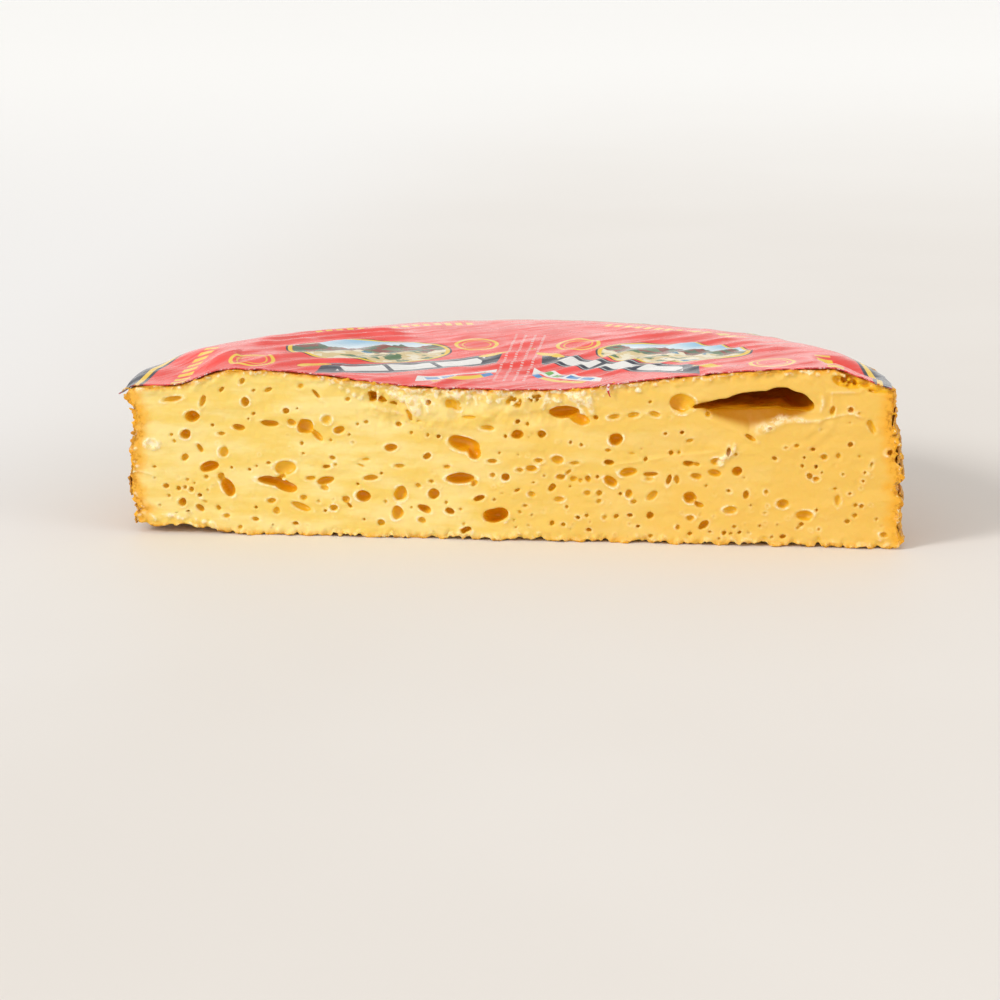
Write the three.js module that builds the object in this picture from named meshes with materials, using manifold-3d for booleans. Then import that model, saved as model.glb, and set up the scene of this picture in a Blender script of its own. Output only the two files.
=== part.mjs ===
// Half of a flat, washed-rind cheese wheel, cut straight across and lying on its flat side.
//
// Frame: millimetres, +Z up, the underside on z = 0. X runs along the cut, Y into the cheese.
// The cut face looks towards -Y. The pieces are modelled with the wheel's axis on x = 0, y = 0
// and the cut in the plane y = 0; the whole group is moved at the end so that the origin is at
// the middle of the underside of the part's box.

import * as THREE from 'three';
import { mergeVertices } from 'three/addons/utils/BufferGeometryUtils.js';
import Module from 'manifold-3d';

const wasm = await Module();
wasm.setup();

// ---------------------------------------------------------------- driving dimensions

// The wheel
const WHEEL_RADIUS = 100; // widest part of the side
const RIM_HEIGHT = 40.4; // where the top face meets the rounded shoulder
const CENTRE_DIP = 0.4; // middle of the top face, below the rim
const CROWN_RISE = 5.6; // highest ring of the top face, above the rim
const CROWN_SHARE = 0.76; // radius of that ring, as a share of the wheel's
const SHOULDER_DRAW = 2.6; // how much narrower the side is at the shoulder
const SHOULDER_RADIUS = 2.4; // rounding between side and top
const FOOT_RADIUS = 2.2; // rounding between side and underside

// The sedge strips bound round the side
const STRIP_COUNT = 5;
const STRIP_THICKNESS = 0.6;
const STRIP_GAP = 1.6; // from one strip's edge to the next
const BARE_BELOW = 0.4; // plain rind between the foot's rounding and the lowest groove
const BARE_ABOVE = 3.0; // plain rind between the highest groove and the shoulder's rounding
const GROOVE_DEPTH = 1.0; // how far the strips have pressed into the rind

// The paper label on the top face
const LABEL_THICKNESS = 0.4;
const LABEL_OVERHANG = 0.5; // past the widest part of the side

// Shared
const CLEARANCE = 0.3; // between two pieces that touch
const HALF_TURN_STEPS = 36; // facets round the half wheel
const TOP_STEPS = 14; // facets from the middle of the top face to its rim
const ARC_STEPS = 3; // facets in each rounded corner
const EYE_STEPS = 10; // facets round an eye
const SPLIT_STEPS = 20; // facets round the split
const TOP_CURVE = 1.4; // over 1 keeps the middle of the top face flat for longer
const SIDE_CURVE = 3; // the draw of the side is mostly near the shoulder

// The split in the paste under the label, open at the cut face
const SPLIT = {
  width: 30,
  height: 6.2,
  depth: 22,
  acrossShare: 0.635, // of the wheel's radius
  belowRim: 2.3, // its middle, under the rim's height
  tilt: 1.5, // degrees
};

// The largest eyes that the knife opened: place as shares of the wheel's radius and of the rim's
// height, then width, height and depth in millimetres and the tilt in degrees.
const EYES = [
  [-0.83, 0.79, 4.2, 3.2, 2.4, 8],
  [-0.85, 0.67, 2.8, 2.8, 2.0, 0],
  [-0.79, 0.45, 5.4, 3.0, 2.4, 15],
  [-0.74, 0.32, 6.6, 3.2, 2.4, -55],
  [-0.64, 0.37, 10.5, 3.4, 5.0, -8],
  [-0.53, 0.72, 5.2, 4.0, 2.6, -20],
  [-0.39, 0.28, 4.2, 3.2, 2.8, 0],
  [-0.29, 0.29, 3.8, 4.2, 2.2, 0],
  [-0.2, 0.3, 3.2, 3.2, 2.4, 0],
  [-0.12, 0.41, 7.4, 3.0, 3.0, 0],
  [-0.11, 0.62, 9.0, 5.0, 4.0, -18],
  [-0.03, 0.16, 6.4, 4.2, 4.5, 8],
  [0.16, 0.83, 10.0, 5.6, 6.0, 0],
  [0.28, 0.68, 4.2, 3.4, 3.0, 22],
  [0.27, 0.4, 4.0, 2.8, 2.0, -35],
  [0.47, 0.3, 3.6, 3.0, 2.4, -40],
  [0.59, 0.49, 2.6, 2.8, 2.4, 0],
  [0.71, 0.28, 3.4, 2.6, 2.4, 0],
  [0.77, 0.2, 4.8, 2.8, 1.8, 5],
];

// ---------------------------------------------------------------- sizes worked out from them

const crownRadius = WHEEL_RADIUS * CROWN_SHARE;
const rimRadius = WHEEL_RADIUS - SHOULDER_DRAW - SHOULDER_RADIUS;
const labelRadius = WHEEL_RADIUS + LABEL_OVERHANG;
const lowestStripEdge = FOOT_RADIUS + BARE_BELOW + CLEARANCE;
const highestStripEdge = RIM_HEIGHT - SHOULDER_RADIUS - BARE_ABOVE - CLEARANCE;
const stripRoom = highestStripEdge - lowestStripEdge + STRIP_GAP;
const stripPitch = stripRoom / STRIP_COUNT;
const stripWidth = stripPitch - STRIP_GAP; // the strips share out the height of the side
const stripHeights = Array.from({ length: STRIP_COUNT }, (_, i) =>
  lowestStripEdge + stripWidth / 2 + i * stripPitch);

/** Height of the top face at a distance from the wheel's axis: dished, with a high ring. */
function topHeight(radius) {
  const middle = RIM_HEIGHT - CENTRE_DIP;
  const crown = RIM_HEIGHT + CROWN_RISE;
  if (radius <= crownRadius) {
    const share = (radius / crownRadius) ** TOP_CURVE;
    return middle + (crown - middle) * (1 - Math.cos(Math.PI * share)) / 2;
  }
  const share = Math.min(1, (radius - crownRadius) / (rimRadius - crownRadius));
  return RIM_HEIGHT + CROWN_RISE * (1 + Math.cos(Math.PI * share)) / 2;
}

/** Radius of the bare side at a height: upright below, drawn in towards the shoulder. */
function sideRadius(height) {
  const share = THREE.MathUtils.clamp(height / RIM_HEIGHT, 0, 1);
  return WHEEL_RADIUS - SHOULDER_DRAW * share ** SIDE_CURVE;
}

/** Radius of the floor of the groove that a strip lies in. */
function grooveRadius(stripHeight) {
  return sideRadius(stripHeight) - GROOVE_DEPTH;
}

// ---------------------------------------------------------------- solids

/** Turns a closed three.js geometry into a manifold solid. */
function toSolid(geometry) {
  geometry.deleteAttribute('normal');
  geometry.deleteAttribute('uv');
  const merged = mergeVertices(geometry);
  return new wasm.Manifold(new wasm.Mesh({
    numProp: 3,
    vertProperties: new Float32Array(merged.attributes.position.array),
    triVerts: new Uint32Array(merged.index.array),
  }));
}

/** Turns a manifold solid back into a three.js geometry. */
function toGeometry(solid) {
  const mesh = solid.getMesh();
  const geometry = new THREE.BufferGeometry();
  geometry.setAttribute('position', new THREE.BufferAttribute(mesh.vertProperties, 3));
  geometry.setIndex(new THREE.BufferAttribute(mesh.triVerts, 1));
  geometry.computeVertexNormals();
  return geometry;
}

/** Revolves a profile of [radius, height] points about the upright axis. */
function revolve(profile) {
  const points = profile.map(([radius, height]) => new THREE.Vector2(radius, height));
  const geometry = new THREE.LatheGeometry(points, 2 * HALF_TURN_STEPS);
  geometry.rotateX(Math.PI / 2);
  return toSolid(geometry);
}

/** The room in front of the cut, which every piece loses. */
function cutAway() {
  const reach = 3 * WHEEL_RADIUS;
  const box = new THREE.BoxGeometry(reach, reach, reach);
  box.translate(0, -reach / 2, 0);
  return toSolid(box);
}

/** Points on a quarter circle from one direction to another, in degrees. */
function cornerArc(radius, centreRadius, centreHeight, fromAngle, toAngle) {
  return Array.from({ length: ARC_STEPS + 1 }, (_, i) => {
    const angle = THREE.MathUtils.degToRad(fromAngle + (toAngle - fromAngle) * i / ARC_STEPS);
    return [centreRadius + radius * Math.cos(angle), centreHeight + radius * Math.sin(angle)];
  });
}

/** The side of the wheel from foot to shoulder, with a groove for each strip. */
function sideProfile() {
  const halfGroove = stripWidth / 2 + CLEARANCE;
  return stripHeights.flatMap((height) => {
    const floor = grooveRadius(height);
    return [
      [sideRadius(height - halfGroove), height - halfGroove],
      [floor, height - halfGroove],
      [floor, height + halfGroove],
      [sideRadius(height + halfGroove), height + halfGroove],
    ];
  });
}

/** The dished top face, from its rim to its middle. */
function topProfile() {
  return Array.from({ length: TOP_STEPS }, (_, i) => {
    const radius = rimRadius * (1 - (i + 1) / TOP_STEPS);
    return [radius, topHeight(radius)];
  });
}

/** An eye opened by the knife: a flattened ball centred on the cut. */
function eye([across, up, width, height, depth, tilt]) {
  const ball = new THREE.SphereGeometry(1, EYE_STEPS, EYE_STEPS - 2);
  ball.scale(width / 2, depth, height / 2);
  ball.rotateY(THREE.MathUtils.degToRad(-tilt));
  ball.translate(across * WHEEL_RADIUS, 0, up * RIM_HEIGHT);
  return toSolid(ball);
}

/** The split: a long rounded slot that runs back from the cut. */
function split() {
  const outline = new THREE.Shape();
  outline.absellipse(0, 0, SPLIT.width / 2, SPLIT.height / 2, 0, 2 * Math.PI);
  const slot = new THREE.ExtrudeGeometry(outline, {
    depth: 2 * SPLIT.depth,
    bevelEnabled: false,
    curveSegments: SPLIT_STEPS,
  });
  slot.rotateX(-Math.PI / 2);
  slot.translate(0, -SPLIT.depth, 0);
  slot.rotateY(THREE.MathUtils.degToRad(-SPLIT.tilt));
  slot.translate(SPLIT.acrossShare * WHEEL_RADIUS, 0, RIM_HEIGHT - SPLIT.belowRim);
  return toSolid(slot);
}

/** Paste and rind, one solid: the half wheel with its grooves, its split and its large eyes. */
function cheeseHalf() {
  const shoulderHeight = RIM_HEIGHT - SHOULDER_RADIUS;
  const footRadius = sideRadius(FOOT_RADIUS) - FOOT_RADIUS;
  const wheel = revolve([
    [0, 0],
    ...cornerArc(FOOT_RADIUS, footRadius, FOOT_RADIUS, -90, 0),
    ...sideProfile(),
    ...cornerArc(SHOULDER_RADIUS, rimRadius, shoulderHeight, 0, 90),
    ...topProfile(),
  ]);
  const half = wheel.subtract(cutAway()).subtract(split());
  return EYES.reduce((solid, place) => solid.subtract(eye(place)), half);
}

/** The paper label: a thin sheet that follows the top face and stays level past the shoulder. */
function paperLabel() {
  const radii = Array.from({ length: TOP_STEPS + 1 }, (_, i) => rimRadius * i / TOP_STEPS);
  const under = [...radii.map((radius) => [radius, topHeight(radius) + CLEARANCE]),
    [labelRadius, RIM_HEIGHT + CLEARANCE]];
  const over = under.map(([radius, height]) => [radius, height + LABEL_THICKNESS]).reverse();
  return revolve([...under, ...over]).subtract(cutAway());
}

/** One sedge strip: a flat half hoop that lies in its groove. */
function sedgeStrip(height) {
  const inner = grooveRadius(height) + CLEARANCE;
  const outer = inner + STRIP_THICKNESS;
  const low = height - stripWidth / 2;
  const high = height + stripWidth / 2;
  return revolve([[inner, low], [outer, low], [outer, high], [inner, high], [inner, low]])
    .subtract(cutAway());
}

// ---------------------------------------------------------------- the part

/** A named mesh with its own material. */
function piece(name, solid, colour, roughness) {
  const material = new THREE.MeshStandardMaterial({ color: colour, roughness, metalness: 0 });
  const mesh = new THREE.Mesh(toGeometry(solid), material);
  mesh.name = name;
  return mesh;
}

const part = new THREE.Group();
part.add(piece('cheese_half', cheeseHalf(), 0xf0cd7c, 0.5));
part.add(piece('paper_label', paperLabel(), 0xc9302c, 0.45));
stripHeights.forEach((height, i) => {
  part.add(piece(`sedge_strip_${i + 1}`, sedgeStrip(height), 0x9a6a34, 0.8));
});
part.position.y = -labelRadius / 2;

export default part;
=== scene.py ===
"""Half of a washed-rind cheese wheel: paste with open eyes, rind, paper label, sedge strips, stage.

Lengths in the shape functions are millimetres, measured from the wheel's axis: across along the
cut, inward from the cut face, and up from the underside. Meshes are in metres in the row's frame.
"""

import functools
import itertools
import math

import bmesh
import bpy
import numpy as np
from mathutils import Matrix, Vector


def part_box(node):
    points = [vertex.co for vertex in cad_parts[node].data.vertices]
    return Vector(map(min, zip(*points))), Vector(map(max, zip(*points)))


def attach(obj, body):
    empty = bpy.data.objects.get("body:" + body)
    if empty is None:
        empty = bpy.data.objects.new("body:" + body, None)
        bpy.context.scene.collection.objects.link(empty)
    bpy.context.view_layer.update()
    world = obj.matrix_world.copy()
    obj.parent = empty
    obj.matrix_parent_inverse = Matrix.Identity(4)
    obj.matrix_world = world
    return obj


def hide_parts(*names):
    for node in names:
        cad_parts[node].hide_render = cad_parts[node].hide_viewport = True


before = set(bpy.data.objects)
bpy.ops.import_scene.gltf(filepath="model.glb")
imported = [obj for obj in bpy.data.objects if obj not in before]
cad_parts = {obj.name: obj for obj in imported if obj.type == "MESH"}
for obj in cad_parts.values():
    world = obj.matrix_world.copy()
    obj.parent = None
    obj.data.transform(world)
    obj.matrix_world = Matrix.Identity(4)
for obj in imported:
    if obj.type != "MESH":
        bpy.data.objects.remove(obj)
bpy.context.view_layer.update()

bl_info = {
    "name": "Half Cheese Wheel",
    "version": (1, 0, 0),
    "blender": (4, 5, 0),
    "location": "View3D > Sidebar > Cheese",
    "description": "Half of a washed-rind cheese wheel with its label, its sedge strips and a stage",
    "category": "Add Mesh",
}

MM = 0.001
CHEESE_LOW, CHEESE_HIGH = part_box("cheese_half")
_, LABEL_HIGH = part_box("paper_label")
STRIP_NODES = sorted(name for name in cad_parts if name.startswith("sedge_strip"))
CUT_Y = CHEESE_LOW.y

# The plain wheel, in millimetres.
CENTRE_DIP = 0.4  # middle of the top face, below the rim
SIDE_DRAW = 2.6  # how much narrower the side is at the rim
GROOVE_DEPTH = 0.5  # how far a strip has pressed into the rind
GROOVE_EDGE = 0.6  # how far a groove runs past its strip's edges
FOOT_ROUNDING = 2.0
SHOULDER_ROUNDING = 2.2
SHOULDER_DROP = 2.4  # the side stops this far below the rim, and starts as far above the underside
TOP_BLEND = 3.5  # depth below the rim that follows the top face
DEEPEST = 30  # the greatest depth that an attribute stores

# The cut face.
SMALL_EYE_COUNT = 160
SMALL_EYE_SEED = 11
SPLIT_CLEAR = (63, 37, 17)  # across, up and radius of the ground without small eyes
MOULD_SPOT = (-93.9, 24.3)  # across and up of the patch of pale crumbs
CRUMB_SEED = 5
EYE_SEED = 100
DEEP_EYE_LUMPS, TORN_LUMPS = (0.35, 5.0), (0.7, 2.2)  # roughness and lump size

# The label.
PRINT_SHIFT = -1.3  # how far the label sits along the cut from the wheel's axis
PRINT_WIDTH = 0.991  # its width, as a share of a true circle's
SHRED_ACROSS = 26.2  # where a shred of it hangs over the cut

RIBS = 5  # along each sedge strip
LAMP_AIM = (0, 0, 0.02)
FLOOR_REACH = 6000

# The eyes that the knife opened: across, up, width, height, tilt in degrees, depth.
EYES = [
    (-88.0, 36.3, 5.4, 1.5, 12, 1.2), (-80.0, 35.8, 3.6, 1.5, 68, 1.2),
    (-83.0, 31.8, 4.2, 3.2, 8, 2.4), (-74.8, 39.0, 2.2, 1.2, 42, 1.2),
    (-69.4, 41.2, 2.1, 1.5, 40, 1.0), (-68.7, 35.8, 2.3, 2.7, 0, 1.6),
    (-85.0, 26.9, 2.9, 2.8, 0, 2.0), (-88.7, 26.7, 1.2, 1.1, 0, 0.9),
    (-88.0, 25.1, 1.1, 1.3, 30, 0.9), (-75.4, 27.2, 2.4, 1.1, 5, 1.1),
    (-70.6, 28.9, 3.4, 1.5, -6, 1.8), (-81.3, 23.2, 1.5, 2.8, 28, 1.3),
    (-75.0, 22.3, 2.8, 3.0, 0, 1.0), (-85.3, 20.5, 2.3, 2.0, 15, 1.1),
    (-93.5, 18.1, 1.7, 0.9, 0, 1.4), (-78.7, 18.3, 5.4, 2.9, 14, 2.6),
    (-79.7, 15.5, 1.4, 1.3, 0, 0.8), (-75.9, 15.5, 2.2, 2.6, 20, 1.4),
    (-74.1, 12.8, 3.2, 5.4, 32, 2.4), (-58.8, 13.6, 6.4, 3.0, -12, 3.6), (-62.4, 14.5, 8.0, 2.3, -8, 3.6),
    (-90.7, 12.8, 1.8, 1.4, 0, 1.2), (-93.0, 11.9, 0.9, 0.8, 0, 0.8),
    (-85.5, 12.6, 1.2, 1.2, 0, 0.9), (-83.8, 12.0, 1.5, 1.6, 0, 1.2),
    (-84.8, 14.7, 1.3, 1.1, 0, 0.7), (-89.9, 10.1, 1.1, 1.2, 0, 0.8),
    (-86.4, 8.6, 2.3, 2.5, 0, 2.0), (-81.8, 7.1, 2.4, 1.7, -42, 1.5),
    (-80.3, 8.8, 1.8, 1.0, -30, 0.6), (-92.5, 7.6, 1.1, 0.9, 0, 0.8),
    (-74.8, 4.9, 2.3, 1.4, 0, 0.9), (-67.0, 4.3, 2.3, 1.1, -15, 1.2),
    (-62.6, 39.0, 2.6, 1.2, 22, 1.0), (-66.4, 38.8, 1.4, 0.9, 30, 1.0),
    (-66.7, 32.6, 1.5, 1.0, 25, 1.1), (-58.0, 33.6, 2.0, 1.6, 20, 1.5),
    (-62.4, 30.2, 5.0, 1.6, -6, 2.0), (-56.6, 30.4, 2.3, 1.9, 0, 1.1),
    (-53.0, 29.4, 4.4, 3.9, 5, 2.4), (-50.0, 27.2, 4.4, 1.6, -40, 1.4),
    (-47.3, 31.4, 3.0, 2.8, 0, 0.7), (-44.1, 28.6, 2.9, 2.2, 10, 1.4),
    (-53.7, 22.3, 1.4, 0.8, 0, 1.2), (-46.0, 21.3, 1.9, 1.2, -20, 1.0),
    (-47.7, 18.8, 2.5, 1.2, 8, 1.5), (-45.3, 19.5, 1.3, 1.1, 0, 0.9),
    (-37.5, 20.9, 4.6, 0.8, 8, 0.8), (-38.6, 19.4, 4.0, 0.7, -22, 0.9),
    (-63.0, 19.5, 1.6, 1.0, 0, 1.3), (-58.7, 18.4, 6.4, 3.8, 8, 1.4),
    (-52.0, 15.6, 3.0, 1.2, 5, 1.0), (-48.0, 15.1, 4.8, 1.9, 16, 1.9),
    (-48.4, 13.2, 2.6, 1.8, -20, 0.8), (-36.0, 16.1, 4.0, 1.5, 0, 1.2),
    (-38.2, 11.3, 4.1, 2.9, 0, 2.8), (-42.7, 10.1, 2.3, 1.9, 0, 1.3),
    (-41.7, 8.5, 1.9, 1.0, -38, 1.5), (-54.0, 10.3, 2.1, 1.5, 0, 0.9),
    (-50.0, 9.4, 1.7, 1.0, -20, 0.7), (-62.6, 9.4, 2.7, 1.5, 10, 1.1),
    (-61.3, 6.7, 2.2, 2.2, 0, 1.0), (-54.8, 8.0, 5.8, 1.9, -20, 1.3),
    (-46.0, 7.8, 2.3, 1.9, 0, 1.0), (-56.4, 3.1, 1.9, 1.3, 0, 1.6),
    (-33.6, 4.0, 2.2, 2.2, 0, 1.3), (-38.0, 4.8, 1.3, 0.8, -20, 1.1),
    (-49.9, 38.1, 3.6, 1.0, -42, 1.4), (-41.6, 37.0, 1.8, 1.3, 15, 1.0),
    (-33.4, 37.6, 4.4, 1.5, -32, 2.8), (-54.0, 40.1, 2.2, 1.4, 0, 0.9),
    (-30.6, 24.3, 3.5, 2.2, 5, 1.9), (-28.4, 19.4, 3.2, 1.1, 0, 1.0),
    (-21.0, 22.2, 2.3, 1.7, 25, 1.5), (-28.5, 30.4, 1.9, 1.3, -10, 1.1),
    (-25.1, 28.3, 1.3, 1.3, 0, 1.0), (-20.1, 15.4, 1.9, 1.1, -10, 1.0),
    (-15.8, 19.5, 2.2, 1.2, 0, 1.0), (-11.6, 25.4, 8.2, 4.2, -12, 3.2),
    (-8.9, 23.2, 4.0, 3.0, -50, 3.0), (-12.4, 16.4, 7.6, 2.8, 2, 3.2),
    (-8.8, 15.2, 2.2, 1.4, 40, 1.2), (-28.3, 11.9, 3.9, 4.3, 0, 1.6),
    (-29.4, 6.8, 3.0, 3.9, -20, 1.7), (-23.5, 14.2, 1.9, 1.3, -20, 1.0),
    (-19.5, 12.0, 3.1, 2.9, 0, 2.2), (-22.0, 8.0, 3.7, 1.8, -24, 2.4),
    (-22.8, 5.1, 2.4, 1.7, -10, 1.0), (-15.3, 7.5, 2.8, 1.8, -14, 2.0),
    (-12.5, 8.2, 1.5, 1.0, 0, 0.7), (-11.7, 4.2, 1.3, 1.2, 0, 0.8),
    (-11.2, 2.2, 3.3, 2.0, 4, 1.9), (-7.6, 11.1, 3.3, 1.5, 20, 2.0),
    (-3.1, 6.4, 6.5, 4.1, 8, 4.6), (-0.7, 16.9, 2.2, 1.9, 0, 1.7),
    (-4.0, 17.4, 1.7, 1.5, 0, 0.9), (-4.1, 21.1, 3.2, 1.2, 0, 1.2),
    (-10.2, 32.5, 5.8, 0.9, 0, 0.8), (-5.4, 29.8, 4.2, 1.3, -8, 1.0),
    (-13.0, 35.4, 2.4, 3.0, 20, 1.0), (-32.2, 9.7, 1.2, 1.2, 0, 0.8),
    (2.4, 28.1, 3.5, 2.6, 0, 2.2), (8.8, 28.4, 2.3, 2.4, 15, 1.8),
    (14.8, 34.3, 8.2, 3.2, 5, 4.4), (18.6, 32.9, 5.4, 3.0, -16, 2.4), (28.0, 27.5, 3.9, 3.1, 24, 3.0),
    (26.0, 24.5, 1.7, 1.2, 0, 1.0), (27.6, 33.4, 3.6, 1.5, 12, 0.9),
    (32.5, 33.9, 3.6, 1.4, 8, 0.9), (31.8, 23.9, 3.0, 0.8, -8, 0.9),
    (8.0, 21.5, 2.5, 1.3, 0, 1.0), (9.4, 20.2, 1.9, 0.9, 10, 1.5),
    (12.9, 21.9, 3.4, 2.2, -10, 1.4), (17.3, 21.0, 3.1, 1.1, 8, 0.9),
    (26.2, 21.4, 2.6, 1.5, 12, 2.4), (3.0, 18.9, 2.3, 1.4, 0, 0.8),
    (6.2, 19.3, 3.1, 1.7, 0, 1.3), (13.6, 17.2, 2.6, 1.5, 12, 1.3),
    (15.6, 18.4, 2.4, 1.0, 40, 0.8), (17.0, 16.8, 2.4, 1.4, 15, 1.1),
    (18.9, 16.3, 1.5, 1.1, 0, 1.1), (20.7, 17.0, 1.5, 2.0, 0, 1.5),
    (26.6, 16.2, 4.0, 2.4, -36, 1.7), (31.2, 18.7, 4.7, 2.3, 6, 1.7),
    (11.4, 14.3, 1.7, 2.4, -40, 1.8), (2.4, 13.5, 2.1, 0.9, 20, 1.4),
    (6.1, 12.6, 2.1, 1.6, 0, 0.9), (6.6, 15.6, 1.3, 0.7, 10, 1.0),
    (13.3, 11.3, 2.8, 1.6, 5, 1.0), (20.5, 13.1, 1.8, 1.7, 0, 0.9),
    (23.7, 13.2, 1.9, 1.6, 0, 1.1), (23.6, 11.0, 1.7, 1.4, 20, 0.8),
    (31.4, 13.0, 2.1, 2.2, 0, 1.4), (32.7, 11.0, 1.9, 1.4, 10, 1.0),
    (4.4, 9.4, 1.8, 0.8, 0, 1.0), (20.4, 7.1, 1.3, 1.1, 0, 1.0),
    (28.0, 7.1, 1.8, 1.3, 15, 1.3), (31.6, 7.4, 1.8, 1.0, 0, 1.6),
    (11.3, 4.8, 1.6, 1.4, 0, 1.3), (14.3, 4.6, 1.5, 1.2, 0, 1.1),
    (21.0, 3.1, 1.6, 1.3, 0, 1.6), (25.0, 6.8, 1.4, 1.5, 0, 0.7),
    (45.3, 36.9, 6.6, 5.2, 10, 1.7), (51.5, 34.3, 1.6, 1.3, -40, 1.2),
    (38.0, 34.2, 3.4, 1.5, -10, 0.9), (36.8, 37.4, 1.2, 1.0, 0, 0.9),
    (46.9, 27.4, 2.6, 1.0, 25, 1.0), (46.6, 21.4, 2.8, 1.5, 5, 2.2),
    (48.7, 21.2, 2.2, 0.9, -8, 1.4), (53.9, 22.1, 3.2, 2.2, 5, 1.2),
    (53.4, 19.0, 3.6, 1.9, -12, 1.5), (56.9, 24.8, 1.1, 2.6, -8, 1.9),
    (59.2, 19.7, 2.2, 2.5, 20, 1.9), (58.8, 24.2, 1.2, 0.9, 40, 0.9),
    (48.7, 18.0, 3.2, 1.6, -8, 1.2), (41.6, 17.1, 1.4, 3.2, -12, 1.6),
    (43.7, 17.1, 1.5, 2.6, 15, 1.2), (37.0, 18.4, 4.6, 1.1, 2, 1.9),
    (36.6, 17.2, 2.8, 1.2, 0, 0.7), (37.2, 12.6, 3.4, 2.0, 40, 1.0),
    (47.0, 12.4, 3.2, 3.0, -30, 2.2), (49.4, 10.6, 2.6, 1.3, -20, 1.8),
    (61.4, 13.6, 1.5, 2.4, -15, 1.7), (57.5, 9.5, 3.8, 2.1, 5, 1.0),
    (36.8, 7.4, 2.2, 1.8, 35, 1.9), (47.2, 7.1, 2.3, 1.6, 0, 1.3),
    (50.5, 5.1, 3.4, 1.9, 45, 2.0), (44.0, 4.5, 1.5, 1.5, 30, 1.0),
    (47.2, 2.7, 1.7, 1.2, 30, 1.1), (52.3, 3.2, 1.2, 1.0, 30, 1.0),
    (37.0, 1.9, 1.7, 1.0, 20, 1.0), (59.8, 3.3, 1.6, 0.9, 32, 1.5),
    (58.6, 5.0, 1.3, 1.1, 0, 0.8), (62.4, 28.6, 3.4, 1.1, -28, 1.4),
    (67.4, 31.1, 1.6, 1.0, 10, 0.8), (68.6, 23.3, 1.8, 1.0, -20, 1.3),
    (66.6, 14.4, 1.3, 1.3, 0, 0.9), (70.8, 11.4, 3.4, 2.4, 0, 1.7),
    (71.0, 2.5, 1.9, 1.2, 8, 1.6), (68.2, 2.4, 1.2, 0.9, 0, 0.9),
    (74.3, 26.8, 1.7, 1.0, 0, 1.1), (71.5, 26.2, 1.3, 0.9, 0, 0.8),
    (78.4, 25.9, 1.7, 1.0, -10, 1.4), (81.1, 23.9, 2.1, 1.6, 0, 1.1),
    (84.8, 24.3, 1.5, 1.6, 0, 1.1), (90.0, 24.2, 1.1, 1.0, 0, 0.9),
    (87.8, 27.3, 1.6, 1.3, 32, 1.4), (93.2, 22.0, 0.9, 2.1, -15, 0.9),
    (97.1, 25.4, 1.4, 1.8, -20, 1.9), (93.1, 32.1, 1.9, 4.1, 22, 1.1),
    (83.1, 35.9, 1.3, 2.6, -12, 1.3), (87.7, 36.4, 1.5, 1.6, 0, 1.5),
    (90.0, 35.5, 1.5, 1.0, 0, 0.9), (79.2, 21.3, 1.2, 1.2, 0, 1.9),
    (77.6, 18.9, 1.9, 1.5, -50, 1.3), (79.2, 18.1, 1.9, 1.4, 10, 1.3),
    (84.0, 15.6, 1.5, 0.8, 0, 1.0), (84.8, 12.6, 1.7, 3.2, 0, 0.8),
    (89.2, 8.7, 1.6, 1.5, 0, 1.0), (76.3, 8.5, 4.7, 2.8, 5, 1.5),
    (75.7, 6.0, 1.6, 1.1, 25, 1.4), (74.8, 5.1, 1.2, 0.9, 0, 1.0),
    (87.3, 7.0, 1.5, 1.2, 0, 1.3), (89.3, 11.4, 1.3, 1.2, 0, 1.1),
    (90.9, 11.2, 1.3, 1.3, 0, 1.1), (87.9, 14.4, 1.2, 0.8, 0, 1.1),
    (94.7, 7.8, 1.1, 1.1, 0, 0.8), (96.0, 6.1, 0.9, 0.9, 0, 0.9),
]

# Openings that aren't plain eyes: across, inward, up of the middle, then half sizes and the tilt.
SPLIT_PARTS = [
    ((54.5, 0.0, 37.7), (7.5, 15.0, 0.9), 13),
    ((61.0, 0.0, 38.2), (11.0, 20.0, 1.8), 11),
    ((67.0, 0.5, 38.4), (10.5, 23.0, 2.5), 5),
    ((71.8, 0.5, 38.4), (6.8, 21.0, 3.0), -10),
]
TORN_PARTS = [
    ((-61.4, 0.2, 15.5), (4.8, 2.4, 0.5), -7),
    ((-34.2, 0.4, 37.6), (2.6, 4.6, 0.85), -33),
    ((-29.6, -0.2, 35.6), (3.4, 1.7, 0.6), -24),
    ((-25.4, 0.0, 33.6), (1.9, 1.5, 0.7), -48),
    ((-22.2, -0.4, 32.2), (2.4, 1.5, 0.8), 12),
    ((-15.2, -0.3, 35.4), (1.4, 1.5, 1.4), 0),
    ((1.6, -0.4, 36.6), (2.4, 1.9, 1.3), 20),
    ((8.0, -0.4, 37.8), (2.8, 1.8, 1.0), 30),
    ((88.0, -1.4, 43.6), (6.4, 4.2, 2.2), -18),
    ((94.6, -1.4, 42.2), (3.6, 3.4, 1.2), -18),
]

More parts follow.
